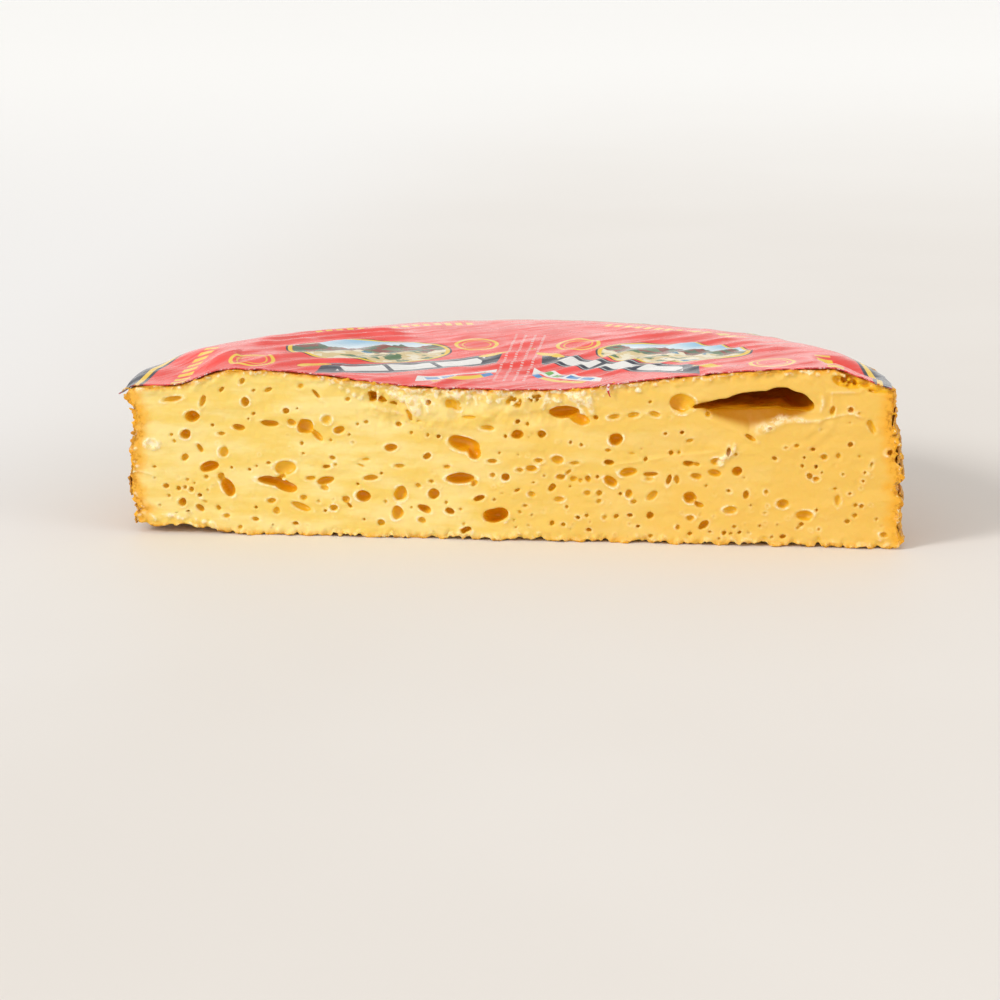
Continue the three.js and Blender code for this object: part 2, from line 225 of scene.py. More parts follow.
# Ridges left by the knife: both ends on the cut face, then height and width.
RIDGES = [
    ((-25.9, 37.0), (-23.2, 33.6), 1.5, 0.8),
    ((-29.4, 38.4), (-23.4, 36.0), 1.2, 1.0),
    ((-27.2, 40.6), (-21.8, 37.0), 0.9, 0.9),
    ((-21.8, 37.0), (-20.2, 34.4), 0.9, 0.8),
    ((-35.0, 35.4), (-28.0, 33.2), 0.5, 0.8),
    ((-16.4, 38.0), (-12.6, 38.4), 0.5, 0.7),
    ((-12.9, 36.6), (-13.2, 34.0), 0.6, 0.5),
    ((16.6, 38.6), (20.8, 37.4), 1.5, 1.1),
    ((20.8, 37.4), (21.4, 34.4), 0.8, 0.8),
    ((54.6, 21.4), (56.8, 24.0), 0.8, 0.7),
    ((56.8, 24.0), (58.6, 26.8), 0.9, 0.5),
    ((64.4, 30.2), (70.0, 33.4), 0.6, 1.5),
    ((70.0, 33.4), (76.0, 33.6), 0.4, 1.2),
    ((75.0, 33.4), (79.0, 33.2), 0.4, 0.7),
    ((79.0, 33.4), (87.4, 35.6), 0.4, 0.45),
    ((87.4, 35.6), (90.4, 34.4), 0.35, 0.45),
    ((79.6, 35.6), (80.6, 39.8), 0.5, 0.5),
    ((82.0, 36.6), (82.4, 40.6), 0.3, 0.45),
    ((81.6, 40.8), (90.0, 41.0), 0.35, 0.5),
    ((26.0, 20.6), (40.0, 22.8), 0.25, 0.35),
    ((-99.0, 17.4), (-94.0, 15.8), 0.35, 0.4),
]


# ------------------------------------------------------------------ sizes and colours

def length(name, description, default, **more):
    return bpy.props.FloatProperty(
        name=name, description=description, default=default, subtype="DISTANCE", unit="LENGTH", **more)


def colour(name, description, default):
    return bpy.props.FloatVectorProperty(
        name=name, description=description, default=default, subtype="COLOR", size=3, min=0, max=1)


class CheeseSettings(bpy.types.PropertyGroup):
    """Sizes and colours of the paste and the rind."""

    radius: length("Radius", "Widest part of the wheel's side", CHEESE_HIGH.x)
    crown: length("Crown height", "Highest ring of the top face", CHEESE_HIGH.z)
    rim: length("Rim height", "Where the top face meets the shoulder", CHEESE_HIGH.z - 0.0056)
    grain: length("Grain", "Size of the finest shape that the mesh holds", 0.0003)
    budget: bpy.props.IntProperty(
        name="Triangles", description="Most triangles in the cheese", default=196000)
    paste: colour("Paste", "Inside of the cheese", (0.785, 0.557, 0.126))
    paste_pale: colour("Pale paste", "Drier, smeared paste", (0.825, 0.655, 0.246))
    # Warm paste: partly the paste's own colour at the right-hand end, partly painted shade on the side away
    # from the key light.
    paste_warm_and_shaded: colour("Warm paste", "Riper paste at the right-hand end", (0.765, 0.47, 0.087))
    # The crumb colour also paints highlight on the lips of the eyes and on the knife's ridges.
    crumb: colour("Crumb", "Dry crumbs along the edges", (0.88, 0.76, 0.50))
    # The shallow eye, eye, scoop and deep hollow colours are painted shade: darker, more orange paste in the
    # hollows of the cut, standing in for shade and for light scattered through the paste.
    shallow_eye_painted_shade: colour("Shallow eye", "Lining of a shallow eye", (0.8, 0.44, 0.016))
    hollow: colour("Eye", "Wet lining of a deep eye", (0.79, 0.345, 0.003))
    scoop: colour("Scoop", "Smooth hollow below the split", (0.43, 0.165, 0.0))
    deep: colour("Deep hollow", "Back of the split", (0.644, 0.209, 0.0017))
    rind: colour("Rind", "Washed rind", (0.8, 0.37, 0.012))
    rind_dark: colour("Dark rind", "Brown spots on the rind", (0.26, 0.09, 0.008))


class LabelSettings(bpy.types.PropertyGroup):
    """Sizes and colours of the paper label."""

    radius: length("Radius", "Outer edge of the label", LABEL_HIGH.x)
    paper: length("Paper", "Thickness of the paper", 0.0003)
    red: colour("Ground", "Printed ground of the label", (0.80, 0.042, 0.028))
    navy: colour("Navy", "Dark ink", (0.016, 0.022, 0.045))
    yellow: colour("Yellow", "Yellow ink", (0.86, 0.56, 0.03))
    white: colour("Paper white", "Bare paper", (0.80, 0.79, 0.76))


class StripSettings(bpy.types.PropertyGroup):
    """Sizes and colours of the sedge strips."""

    thickness: length("Thickness", "Thickness of a strip", 0.00045)
    straw: colour("Straw", "Dry fibres", (0.66, 0.34, 0.035))
    stain: colour("Stain", "Fibres stained by the rind", (0.38, 0.14, 0.01))


# ------------------------------------------------------------------ shape of the wheel

def smooth(value, low, high):
    """0 below low, 1 above high and a smooth step between."""
    share = np.clip((value - low) / (high - low), 0, 1)
    return share * share * (3 - 2 * share)


def noise(points, size, seed, octaves=1):
    """Smooth noise, about -1 to 1, whose bumps are about size apart. Each use has its own seed."""
    total = np.zeros(len(points))
    for octave in range(octaves):
        table = np.random.default_rng(seed + octave).uniform(-1, 1, 4096)
        scaled = points * (2 ** octave / size) + 0.37 * octave
        cell = np.floor(scaled).astype(np.int64)
        part = scaled - cell
        part = part * part * (3 - 2 * part)
        for corner in itertools.product((0, 1), repeat=3):
            key = ((cell + corner) * (73856093, 19349663, 83492791)).sum(axis=1) & 4095
            weight = np.prod(np.where(corner, part, 1 - part), axis=1)
            total += table[key] * weight * 1.6 / 2 ** octave
    return total


class Wheel:
    """The smooth form that the surfaces of the wheel follow, in millimetres."""

    def __init__(self, settings):
        self.radius = settings.radius / MM
        self.rim = settings.rim / MM
        self.crown = settings.crown / MM
        self.centre = self.rim - CENTRE_DIP
        self.bands = [tuple(v.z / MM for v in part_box(name)) for name in STRIP_NODES]

    def top(self, across, inward):
        """Height of the top face: dished in the middle, with a high ring that is lowest at the back."""
        reach = np.hypot(across, inward)
        lean = across / self.radius
        turned = np.clip(inward / np.maximum(reach, 1), 0, 1)
        away = smooth(turned, 0.03, 0.3)
        # Radius and height of the raised ring, and the dish inside it.
        ring = (75.5 + 5.9 * lean) * (1 - away) + (76.6 - 4.2 * smooth(turned, 0.2, 1)) * away
        crown = self.crown - 0.15 + lean * (0.9 - 0.65 * away) - 3.1 * smooth(turned, 0.10, 1)
        crown -= 1.0 * smooth(-lean, 0.35, 0.75) * (1 - away)
        rise = 1.42 - 0.5 * smooth(lean, 0, 0.3)
        inner = np.clip(reach / ring, 0, 1) ** rise
        dish = self.centre + (crown - self.centre) * (1 - np.cos(np.pi * inner)) / 2
        # Outside the ring, near the cut: down to the shoulder, with a chip at the right-hand end.
        left = smooth(-lean, 0.5, 0.9)
        shoulder = self.rim + 0.8 - 0.8 * left
        outer = np.clip((reach - ring) / (12.3 - 4.2 * lean + 2 * left), 0, 1)
        near = shoulder + (crown - shoulder) * (1 + np.cos(np.pi * outer)) / 2
        near -= 0.7 * np.clip((reach - ring - 10) / 12, 0, 1)
        near += 1.2 * left * smooth(turned, 0.04, 0.16)
        chipped = self.crown + 0.3 - 0.36 * (across - 85)
        near += smooth(across, 80, 84) * (1 - smooth(inward, 3, 14)) * np.clip(chipped - near, 0, 9)
        # Outside the ring, further in: one even fall to the brim.
        outer = np.clip((reach - ring) / (self.radius - ring), 0, 1.1)
        brim = self.rim - 1.5 + 1.4 * smooth(-lean, 0.7, 0.9) * (1 - smooth(turned, 0.35, 0.6))
        far = brim + (crown - brim) * (1 - outer ** 2.9)
        fall = near + (far - near) * smooth(turned, 0.17, 0.3)
        return np.where(reach < ring, dish, fall)

    def groove(self, up):
        """1 in the middle of a strip's groove and 0 on the bare rind."""
        depth = np.zeros_like(up)
        for low, high in self.bands:
            lower = smooth(up, low - GROOVE_EDGE, low + 0.3)
            upper = 1 - smooth(up, high - 0.3, high + GROOVE_EDGE)
            depth = np.maximum(depth, lower * upper)
        return depth

    def side(self, up):
        """Radius of the side, with the grooves that the strips have pressed in."""
        share = np.clip(up / self.rim, 0, 1)
        return self.radius - SIDE_DRAW * share ** 3 - GROOVE_DEPTH * self.groove(up)

    def lumps(self, points):
        """How far the side stands out from its plain form."""
        across, _, up = points.T
        right = smooth(across, 68, 96)
        left = smooth(-across, 68, 96)
        swell = 0.3 + 0.75 * noise(points * (0.6, 0.6, 1), 8, 201, 2)
        # Bulges and waists at the two ends of the cut.
        swell += right * (1.1 - 0.9 * smooth(up, 33, 39) - 2.6 * np.exp(-((up - 16) / 1.6) ** 2))
        swell += left * (1.1 * np.exp(-((up - 14.5) / 4) ** 2) + 1.3 * np.exp(-((up - 37) / 3) ** 2)
                         - 1.1 * np.exp(-((up - 6.6) / 1.3) ** 2) - 0.5 * np.exp(-((up - 27) / 4) ** 2))
        return swell

    def foot(self, across, inward):
        """Height of the underside, which lifts a little near the rim at the left end."""
        reach = np.hypot(across, inward)
        left = smooth(-across, 55, 84)
        return 1.7 * left * smooth(reach, 66, 88)

    def depths(self, points):
        """How far a point lies behind the side, under the top face and above the underside."""
        across, inward, up = points.T
        side = self.side(up) + self.lumps(points) - np.hypot(across, inward)
        return side, self.top(across, inward) - up, up - self.foot(across, inward)

    def inside(self, points):
        """How far a point lies under the rind."""
        side, top, foot = self.depths(points)
        return np.minimum(np.minimum(side, top), foot)

    def ripeness(self, points):
        """How golden the paste has turned: widest along the side, narrow under the label."""
        side, top, foot = self.depths(points)
        ripe = np.maximum(1 - smooth(side, 0.3, 6.5), 0.9 * (1 - smooth(top, 0.3, 2.2)))
        return np.maximum(ripe, 0.8 * (1 - smooth(foot, 0.2, 2.6)))


def to_wheel(coordinates):
    """Row-frame metres to the wheel's millimetres."""
    return (coordinates - (0, CUT_Y, 0)) / MM


def to_frame(points):
    """The wheel's millimetres to row-frame metres."""
    return points * MM + (0, CUT_Y, 0)


# ------------------------------------------------------------------ mesh helpers

def get_points(mesh):
    """Places of a mesh's vertices in the wheel's millimetres."""
    flat = np.empty(len(mesh.vertices) * 3, np.float32)
    mesh.vertices.foreach_get("co", flat)
    return to_wheel(flat.reshape(-1, 3).astype(float))


def set_points(mesh, points):
    """Moves a mesh's vertices to places in the wheel's millimetres."""
    mesh.vertices.foreach_set("co", to_frame(points).astype(np.float32).ravel())
    mesh.update()


def set_values(mesh, name, values):
    """Stores one number for each vertex, for the material to read."""
    attribute = mesh.attributes.new(name, "FLOAT", "POINT")
    attribute.data.foreach_set("value", values.astype(np.float32))


def from_bmesh(name, bm):
    """A new object from a bmesh in the wheel's millimetres."""
    mesh = bpy.data.meshes.new(name)
    bm.to_mesh(mesh)
    bm.free()
    mesh.transform(Matrix.Translation((0, CUT_Y, 0)) @ Matrix.Scale(MM, 4))
    piece = bpy.data.objects.new(name, mesh)
    bpy.context.scene.collection.objects.link(piece)
    return piece


def apply_modifiers(piece):
    """Turns a piece's modifiers into its mesh, which has no material yet."""
    graph = bpy.context.evaluated_depsgraph_get()
    mesh = bpy.data.meshes.new_from_object(piece.evaluated_get(graph))
    old = piece.data
    piece.modifiers.clear()
    piece.data = mesh
    mesh.name = piece.name
    mesh.materials.clear()
    bpy.data.meshes.remove(old)


def remesh(piece, grain):
    """Rebuilds a piece as one closed skin, which also joins what overlaps."""
    modifier = piece.modifiers.new("Skin", "REMESH")
    modifier.mode = "VOXEL"
    modifier.voxel_size = grain
    modifier.use_smooth_shade = True
    apply_modifiers(piece)


def cut_away(piece, tool):
    """Takes the tool's shape out of a piece, and the tool with it."""
    modifier = piece.modifiers.new("Cut", "BOOLEAN")
    modifier.operation = "DIFFERENCE"
    modifier.solver = "MANIFOLD"
    modifier.object = tool
    apply_modifiers(piece)
    bpy.data.objects.remove(tool)


def join(pieces):
    """One object from several, in the first one's place."""
    bm = bmesh.new()
    for piece in pieces:
        bm.from_mesh(piece.data)
    bm.to_mesh(pieces[0].data)
    bm.free()
    for piece in pieces[1:]:
        bpy.data.objects.remove(piece)
    return pieces[0]


def cluster(name, balls, seed):
    """One piece from many lumpy ellipsoids.

    Each is its centre, half sizes, tilt in the plane of the cut, fineness, roughness and lump size.
    """
    units = {}
    bm = bmesh.new()
    places, amounts, lumps = [], [], []
    for centre, half_sizes, tilt, fineness, amount, lump in balls:
        if fineness not in units:
            unit = bmesh.new()
            bmesh.ops.create_icosphere(unit, subdivisions=fineness, radius=1)
            mesh = bpy.data.meshes.new("ball")
            unit.to_mesh(mesh)
            unit.free()
            flat = np.empty(len(mesh.vertices) * 3, np.float32)
            mesh.vertices.foreach_get("co", flat)
            units[fineness] = mesh, flat.reshape(-1, 3)
        mesh, ball = units[fineness]
        bm.from_mesh(mesh)
        turn = np.array(Matrix.Rotation(math.radians(-tilt), 3, "Y"))
        places.append(ball * half_sizes @ turn.T + centre)
        amounts.append(np.full((len(ball), 1), amount))
        lumps.append(np.full((len(ball), 1), lump))
    for mesh, _ in units.values():
        bpy.data.meshes.remove(mesh)
    piece = from_bmesh(name, bm)
    points = np.concatenate(places)
    scaled = points / np.concatenate(lumps)
    shift = np.stack([noise(scaled, 1.0, seed + axis, 2) for axis in range(3)], axis=1)
    set_points(piece.data, points + shift * np.concatenate(amounts))
    return piece


# ------------------------------------------------------------------ the cheese

def wheel_blank(wheel):
    """The plain half wheel, closed at the cut."""
    foot = [(wheel.radius - FOOT_ROUNDING + FOOT_ROUNDING * math.sin(a), 0,
             FOOT_ROUNDING - FOOT_ROUNDING * math.cos(a)) for a in np.linspace(0, math.pi / 2, 5)]
    side = [(float(wheel.side(np.array([up]))[0]), 0, up)
            for up in np.linspace(SHOULDER_DROP, wheel.rim - SHOULDER_DROP, 70)]
    shoulder_radius = side[-1][0] - SHOULDER_ROUNDING
    shoulder = [(shoulder_radius + SHOULDER_ROUNDING * math.cos(a), 0,
                 wheel.rim - SHOULDER_DROP + SHOULDER_ROUNDING * math.sin(a))
                for a in np.linspace(0.2, math.pi / 2, 5)]
    bm = bmesh.new()
    outline = [(0, 0, 0)] + foot + side + shoulder
    outline += [((1 - share) * shoulder_radius, 0, wheel.rim) for share in np.linspace(0, 1, 40)[1:]]
    verts = [bm.verts.new(place) for place in outline]
    edges = [bm.edges.new(pair) for pair in zip(verts, verts[1:])]
    bmesh.ops.spin(bm, geom=verts + edges, cent=(0, 0, 0), axis=(0, 0, 1), angle=math.pi, steps=120)
    bmesh.ops.remove_doubles(bm, verts=bm.verts, dist=0.001)
    for vert in bm.verts:
        share = smooth(vert.co.z, wheel.rim - TOP_BLEND, wheel.rim)
        vert.co.z += float(share * (wheel.top(vert.co.x, vert.co.y) - wheel.rim))
    bmesh.ops.holes_fill(bm, edges=[e for e in bm.edges if e.is_boundary], sides=0)
    bmesh.ops.recalc_face_normals(bm, faces=bm.faces)
    return from_bmesh("cheese", bm)


@functools.cache
def all_eyes():
    """The large eyes, and small ones scattered clear of them, of the split and of the pale spot."""
    wheel = Wheel(bpy.context.scene.cheese_settings)
    chance = np.random.default_rng(SMALL_EYE_SEED)
    taken = [(x, z, max(w, h) / 2) for x, z, w, h, _, _ in EYES] + [SPLIT_CLEAR, (*MOULD_SPOT, 2)]
    found = []
    while len(found) < SMALL_EYE_COUNT:
        across = -95 + 192 * chance.beta(1.15, 1.3)
        up = 1.5 + 40 * chance.beta(1.3, 2.1)
        size = 0.7 + 1.4 * chance.beta(1.0, 3.6)
        if wheel.top(across, 0.0) - up < 2.5:
            continue
        if any(math.hypot(across - x, up - z) < r + size / 2 + 0.5 for x, z, r in taken):
            continue
        taken.append((across, up, size / 2))
        found.append((across, up, size, size * chance.uniform(0.7, 1.1), chance.uniform(-40, 40),
                      size * chance.uniform(0.7, 1.2)))
    return EYES + found


def eye_tools(grain):
    """One closed tool in the shape of all the eyes, the split and the torn hollows."""
    balls = []
    for across, up, width, height, tilt, depth in all_eyes():
        fineness = 4 if max(width, height) > 2 else 3
        centre = (across, 0.12 * depth, up)
        balls.append((centre, (width / 2, depth, height / 2), tilt, fineness,
                      0.09 * min(width, height), 0.8 * max(width, height)))
    balls += [(centre, sizes, tilt, 5, *DEEP_EYE_LUMPS) for centre, sizes, tilt in SPLIT_PARTS]
    balls += [(centre, sizes, tilt, 5, *TORN_LUMPS) for centre, sizes, tilt in TORN_PARTS]
    tool = cluster("eye_tool", balls, EYE_SEED)
    remesh(tool, grain)
    return tool


def crumbs(wheel, seed):
    """Crumbs of paste dragged along the edges by the knife."""
    chance = np.random.default_rng(seed)
    balls = []

    def drop(across, up, low, high, inward=None):
        """Adds one crumb of a size from low to high."""
        size = chance.uniform(low, high)
        sizes = size * chance.uniform(0.7, 1.3, 3)
        centre = (across, chance.uniform(-0.35, 0.1) if inward is None else inward, up)
        balls.append((centre, sizes, chance.uniform(0, 180), 2, 0.3 * size, size))

    # Along the label.
    for _ in range(330):
        across = chance.uniform(-90, 86)
        drop(across, wheel.top(across, 0.0) - 1.3 * chance.beta(0.8, 1.6), 0.12, 0.36)
    # In the torn paste under it.
    for _ in range(230):
        across = -48 + 84 * chance.beta(1.6, 1.6)
        drop(across, wheel.top(across, 0.0) - 5.5 * chance.beta(1, 2.4), 0.2, 0.6)
    # Along the underside.
    for _ in range(330):
        across = chance.uniform(-97, 99)
        drop(across, float(wheel.foot(across, 0.0)) + 1.2 * chance.beta(0.9, 1.8), 0.12, 0.42)
    # Round the pale spot.
    spot_across, spot_up = MOULD_SPOT
    for _ in range(34):
        turn = chance.uniform(0, 2 * math.pi)
        drop(spot_across + 1.9 * math.cos(turn), spot_up + 1.3 * math.sin(turn), 0.22, 0.45)
    # On the chipped shoulder and the foot at the right-hand end.
    for _ in range(110):
        across = chance.uniform(82, 97)
        drop(across, chance.uniform(41.2, 45.2 - 0.33 * (across - 85)), 0.2, 0.55, chance.uniform(1.2, 3.2))
    for _ in range(34):
        drop(chance.uniform(92, 100.5), chance.uniform(0.3, 2.2), 0.25, 0.6, chance.uniform(-0.4, 2))
    # Up both ends of the cut.
    for end, radius in ((-1, 98.8), (1, 99.4)):
        for _ in range(70):
            up = chance.uniform(1, 39)
            drop(end * (radius + chance.uniform(-0.9, 0.4)), up, 0.2, 0.45, chance.uniform(-0.2, 0.8))
    return cluster("crumbs", balls, seed)


def line_distance(across, up, start, end):
    """Distance from a line drawn on the cut face, and how far along it."""
    start, end = np.array(start), np.array(end)
    run = end - start
    along = np.clip(((across - start[0]) * run[0] + (up - start[1]) * run[1]) / (run @ run), 0, 1)
    return np.hypot(across - start[0] - along * run[0], up - start[1] - along * run[1]), along


def ridge_height(points):
    """Height of the ridges that the knife has left on the cut face."""
    across, _, up = points.T
    wavy = across + 0.5 * noise(points * (1, 0, 1), 2.5, 13)
    total = np.zeros(len(points))
    for start, end, height, width in RIDGES:
        gap, along = line_distance(wavy, up, start, end)
        total += height * np.exp(-(gap / width) ** 2) * (0.4 + 0.6 * np.sin(np.pi * (0.1 + 0.8 * along)))
    return total


def cut_relief(wheel, points):
    """How far the cut face stands back from a flat cut, over the face."""
    across, _, up = points.T
    flat = points * (1, 0, 1)
    # Broad waves, the knife's drag along the cut, and fine grain.
    relief = 0.35 * noise(flat, 34, 1, 2)
    relief += 0.12 * noise(flat * (0.35, 1, 1), 3.2, 3, 2)
    relief += 0.05 * noise(flat, 1.3, 5, 2)
    # Torn paste under the middle of the label, and ragged edges above and below.
    torn = smooth(up, 27, 33) * smooth(across, -44, -34) * (1 - smooth(across, 10, 24))
    relief += torn * (0.6 * noise(flat, 4.2, 7, 3) + 0.2)
    ragged = 1 - smooth(wheel.top(across, np.zeros_like(across)) - up, 0.8, 3.6)
    relief += ragged * 0.45 * noise(flat, 1.9, 9, 2)
    relief += (1 - smooth(up, 0.4, 2.6)) * 0.4 * noise(flat, 1.6, 15, 2)
    relief -= ridge_height(points)
    # A step to the left of the smooth hollow, and ripples beside the split.
    ledge = 0.5 * smooth(up - (23.3 + 0.12 * (across - 40)), -0.35, 0.35)
    relief += ledge * smooth(across, 30, 38) * (1 - smooth(across, 50, 56)) * (1 - smooth(up, 25, 31))
    rings = np.hypot(across - 73, up - 37)
    near_split = smooth(rings, 5, 8) * (1 - smooth(rings, 10, 16)) * smooth(across, 74, 78)
    return relief + 0.12 * np.cos(rings * 2.0) * near_split


def scoop(points):
    """Depth of the smooth hollow that runs out below the split."""
    across, _, up = points.T
    aside = across - 62
    low = 28.2 + np.where(aside < 0, 0.46 * -aside, 0.62 * aside - 0.02 * aside ** 2)
    share = np.clip((36.4 - up) / np.maximum(36.4 - low, 0.5), 0, 1)
    window = smooth(across, 47, 55) * (1 - smooth(across, 72, 80)) * (1 - smooth(up, 36.6, 38.2))
    return 3.4 * (1 - smooth(share, -0.25, 1)) * window


def eye_lips(points):
    """How far the paste stands up round the mouths of the eyes."""
    front = np.flatnonzero(points[:, 1] < 1.0)
    order = front[np.argsort(points[front, 0])]
    across, up = points[order, 0], points[order, 2]
    lips = np.zeros(len(points))
    for x, z, width, height, tilt, _ in all_eyes():
        reach = max(width, height) / 2 + 1.4
        first, last = np.searchsorted(across, (x - reach, x + reach))
        turn = math.radians(tilt)
        dx, dz = across[first:last] - x, up[first:last] - z
        along = (dx * math.cos(turn) + dz * math.sin(turn)) / (width / 2)
        over = (dz * math.cos(turn) - dx * math.sin(turn)) / (height / 2)
        gap = (np.hypot(along, over) - 1) * min(width, height) / 2
        lip = 0.10 * min(2.6, min(width, height)) + 0.08
        lips[order[first:last]] += lip * np.exp(-((gap - 0.15) / 0.28) ** 2)
    return np.minimum(lips, 0.42) * smooth(noise(points * (1, 0, 1), 2.4, 17, 2), -0.9, 0.7)


def settle_surface(wheel, mesh):
    """Moves the skin of the remeshed cheese: cut relief, rough rind, and the marks underneath."""
    points = get_points(mesh)
    across, inward, up = points.T
    reach = np.hypot(across, inward)
    near_cut = 1 - smooth(inward, 0.5, 6)
    relief = cut_relief(wheel, points) - eye_lips(points) + scoop(points)
    # The rind stands out in lumps and grains.
    under_side = wheel.side(up) - reach
    rind = 1 - smooth(under_side, 0.6, 5)
    radial = wheel.lumps(points) + 0.30 * noise(points, 2.3, 21, 2) + 0.22 * noise(points, 1.0, 23, 2)
    radial *= rind * smooth(up, -0.5, 1.5)
    scale = 1 + radial / np.maximum(reach, 1)
    # The underside has the rack's marks, and a ragged edge at the cut.
    foot = wheel.foot(across, inward)
    under = 1 - smooth(up - foot, 0.5, 5)
    wave = (0.35 * across + 0.94 * inward) * 2 * np.pi / 7.5 + noise(points, 20, 31)
    marks = 0.45 * (0.5 + 0.5 * np.cos(wave)) * noise(points * (1, 1, 0), 9, 33, 2).clip(0, 1)
    marks += 0.2 * noise(points * (1, 1, 0), 2.1, 35, 2)
    lift = under * (foot + np.maximum(marks, 0))
    edge = under * near_cut * 0.8 * noise(points * (1, 0, 0), 1.7, 37, 2).clip(0, 1)
    # The top face is uneven under the label.
    top = smooth(up - wheel.top(across, inward), -3, 0)
    sag = top * (0.15 * noise(points, 11, 41, 2) + 0.18 * noise(points, 1.9, 43, 2) - 0.15)
    points = np.stack([
        across * scale,
        inward * scale + near_cut * relief,
        np.maximum(up + lift + edge + sag, 0),
    ], axis=1)
    set_points(mesh, points)


def thin_out(piece, wheel, budget):
    """Drops triangles where the form is plain, and fewest on the cut face."""
    mesh = piece.data
    points = get_points(mesh)
    hidden = smooth(points[:, 2] - wheel.top(points[:, 0], points[:, 1]), -2.5, -0.8)
    below = 1 - smooth(points[:, 2], 0.8, 1.6)
    away = smooth(points[:, 1], 0.8, 4)
    weights = 0.12 + away * (0.5 + 0.38 * np.maximum(hidden, below))
    group = piece.vertex_groups.new(name="plain")
    levels = np.round(weights * 16).astype(int)
    for level in np.unique(levels):
        group.add(np.flatnonzero(levels == level).tolist(), level / 16, "REPLACE")
    triangles = sum(len(p.vertices) - 2 for p in mesh.polygons)
    modifier = piece.modifiers.new("Thin", "DECIMATE")
    modifier.ratio = min(1.0, budget / triangles)
    modifier.vertex_group = group.name
    modifier.vertex_group_factor = 1.0
    apply_modifiers(piece)
    piece.vertex_groups.clear()
    # Merging edges can push a corner a little below the underside.
    points = get_points(piece.data)
    points[:, 2] = np.maximum(points[:, 2], 0)
    set_points(piece.data, points)


def build_cheese(settings):
    """The half wheel: cut, torn, crumbed, roughened and thinned, with what its material reads."""
    wheel = Wheel(settings)
    grain = settings.grain
    cheese = wheel_blank(wheel)
    cut_away(cheese, eye_tools(grain * 0.75))
    cheese = join([cheese, crumbs(wheel, CRUMB_SEED)])
    remesh(cheese, grain)
    settle_surface(wheel, cheese.data)
    thin_out(cheese, wheel, settings.budget)
    mesh = cheese.data
    mesh.shade_smooth()
    points = get_points(mesh)
    across, inward, up = points.T
    under = wheel.inside(points)
    behind = inward - cut_relief(wheel, points)
    set_values(mesh, "under_rind", np.clip(under, 0, DEEPEST))
    front = smooth(2 - inward, 0, 1)
    beyond = behind - scoop(points)
    # The material paints these depths and the scoop darker: painted shade in the eyes, the split and the
    # scoop.
    set_values(mesh, "hollow", np.clip(beyond - 0.12, 0, DEEPEST) * smooth(under, 0.5, 1.4))
    set_values(mesh, "scoop", scoop(points) * (1 - smooth(beyond, 0.8, 2.5)))
    set_values(mesh, "ripe", wheel.ripeness(points))
    spot_across, spot_up = MOULD_SPOT
    spot = np.exp(-(((across - spot_across) / 2.2) ** 2 + ((up - spot_up) / 1.5) ** 2) ** 2)
    # Pale crumbs that stand out from the cut and round the pale spot are real; the pale lips of the eyes and
    # crests of the knife's ridges are painted highlight.
    raised = smooth(-behind, 0.10, 0.34) * (0.25 + 0.75 * smooth(up, 1.5, 3.5))
    ridges = 0.8 * smooth(ridge_height(points), 0.12, 0.6) + 1.1 * eye_lips(points)
    set_values(mesh, "crumb", np.clip(raised + front * (spot + ridges), 0, 1))
    mesh.materials.append(paste_material(settings))
    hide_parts("cheese_half")
    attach(cheese, "root")


# ------------------------------------------------------------------ the label

def label_height(wheel, across, inward):
    """Height of the label's underside, in millimetres."""
    reach = np.hypot(across, inward)
    points = np.stack([across, inward, np.zeros_like(across)], axis=-1)
    held = wheel.top(across, inward) - 0.05 * np.clip(reach - 97, 0, 9) ** 2
    # Slanting folds, which are weak at the cut and towards the edge, and small creases.
    slant = (0.62 * across - 0.78 * inward) * 2 * np.pi / 8.5
    folds = 0.5 + 0.5 * np.cos(slant + 3.4 * noise(points, 24, 51))
    swell = 0.8 * folds ** 2 * smooth(noise(points * (1, 0.8, 1), 21, 53, 2), -0.8, 0.7)
    swell *= (0.25 + 0.75 * smooth(inward, 0, 7)) * (1 - 0.6 * smooth(reach, 76, 90))
    swell += 0.14 * noise(points * (1, 0.5, 1), 6, 55, 2) * (0.3 + 0.7 * smooth(inward, 0, 5))
    # The left-hand corner hangs down.
    tip = smooth(-across, 97.5, 101) * (1 - smooth(inward, 1.5, 8))
    return held + 0.08 + np.maximum(swell, -0.08) - 1.1 * tip


def label_shred(wheel):
    """A thin shred of the label that hangs over the cut."""
    bm = bmesh.new()
    bmesh.ops.create_grid(bm, x_segments=2, y_segments=10, size=1)
    shred = from_bmesh("shred", bm)
    points = get_points(shred.data)
    side, fall = points[:, 0], (1 - points[:, 1]) / 2
    across = SHRED_ACROSS + side * 0.45 * (1 - 0.8 * fall) - 1.4 * fall * (1 - fall) + 0.5 * fall
    top = label_height(wheel, np.full_like(across, SHRED_ACROSS), np.zeros_like(across)) + 0.2
    points = np.stack([across, -0.35 - 0.5 * fall * (1 - fall), top - 3.3 * fall], axis=1)
    set_points(shred.data, points)
    return shred


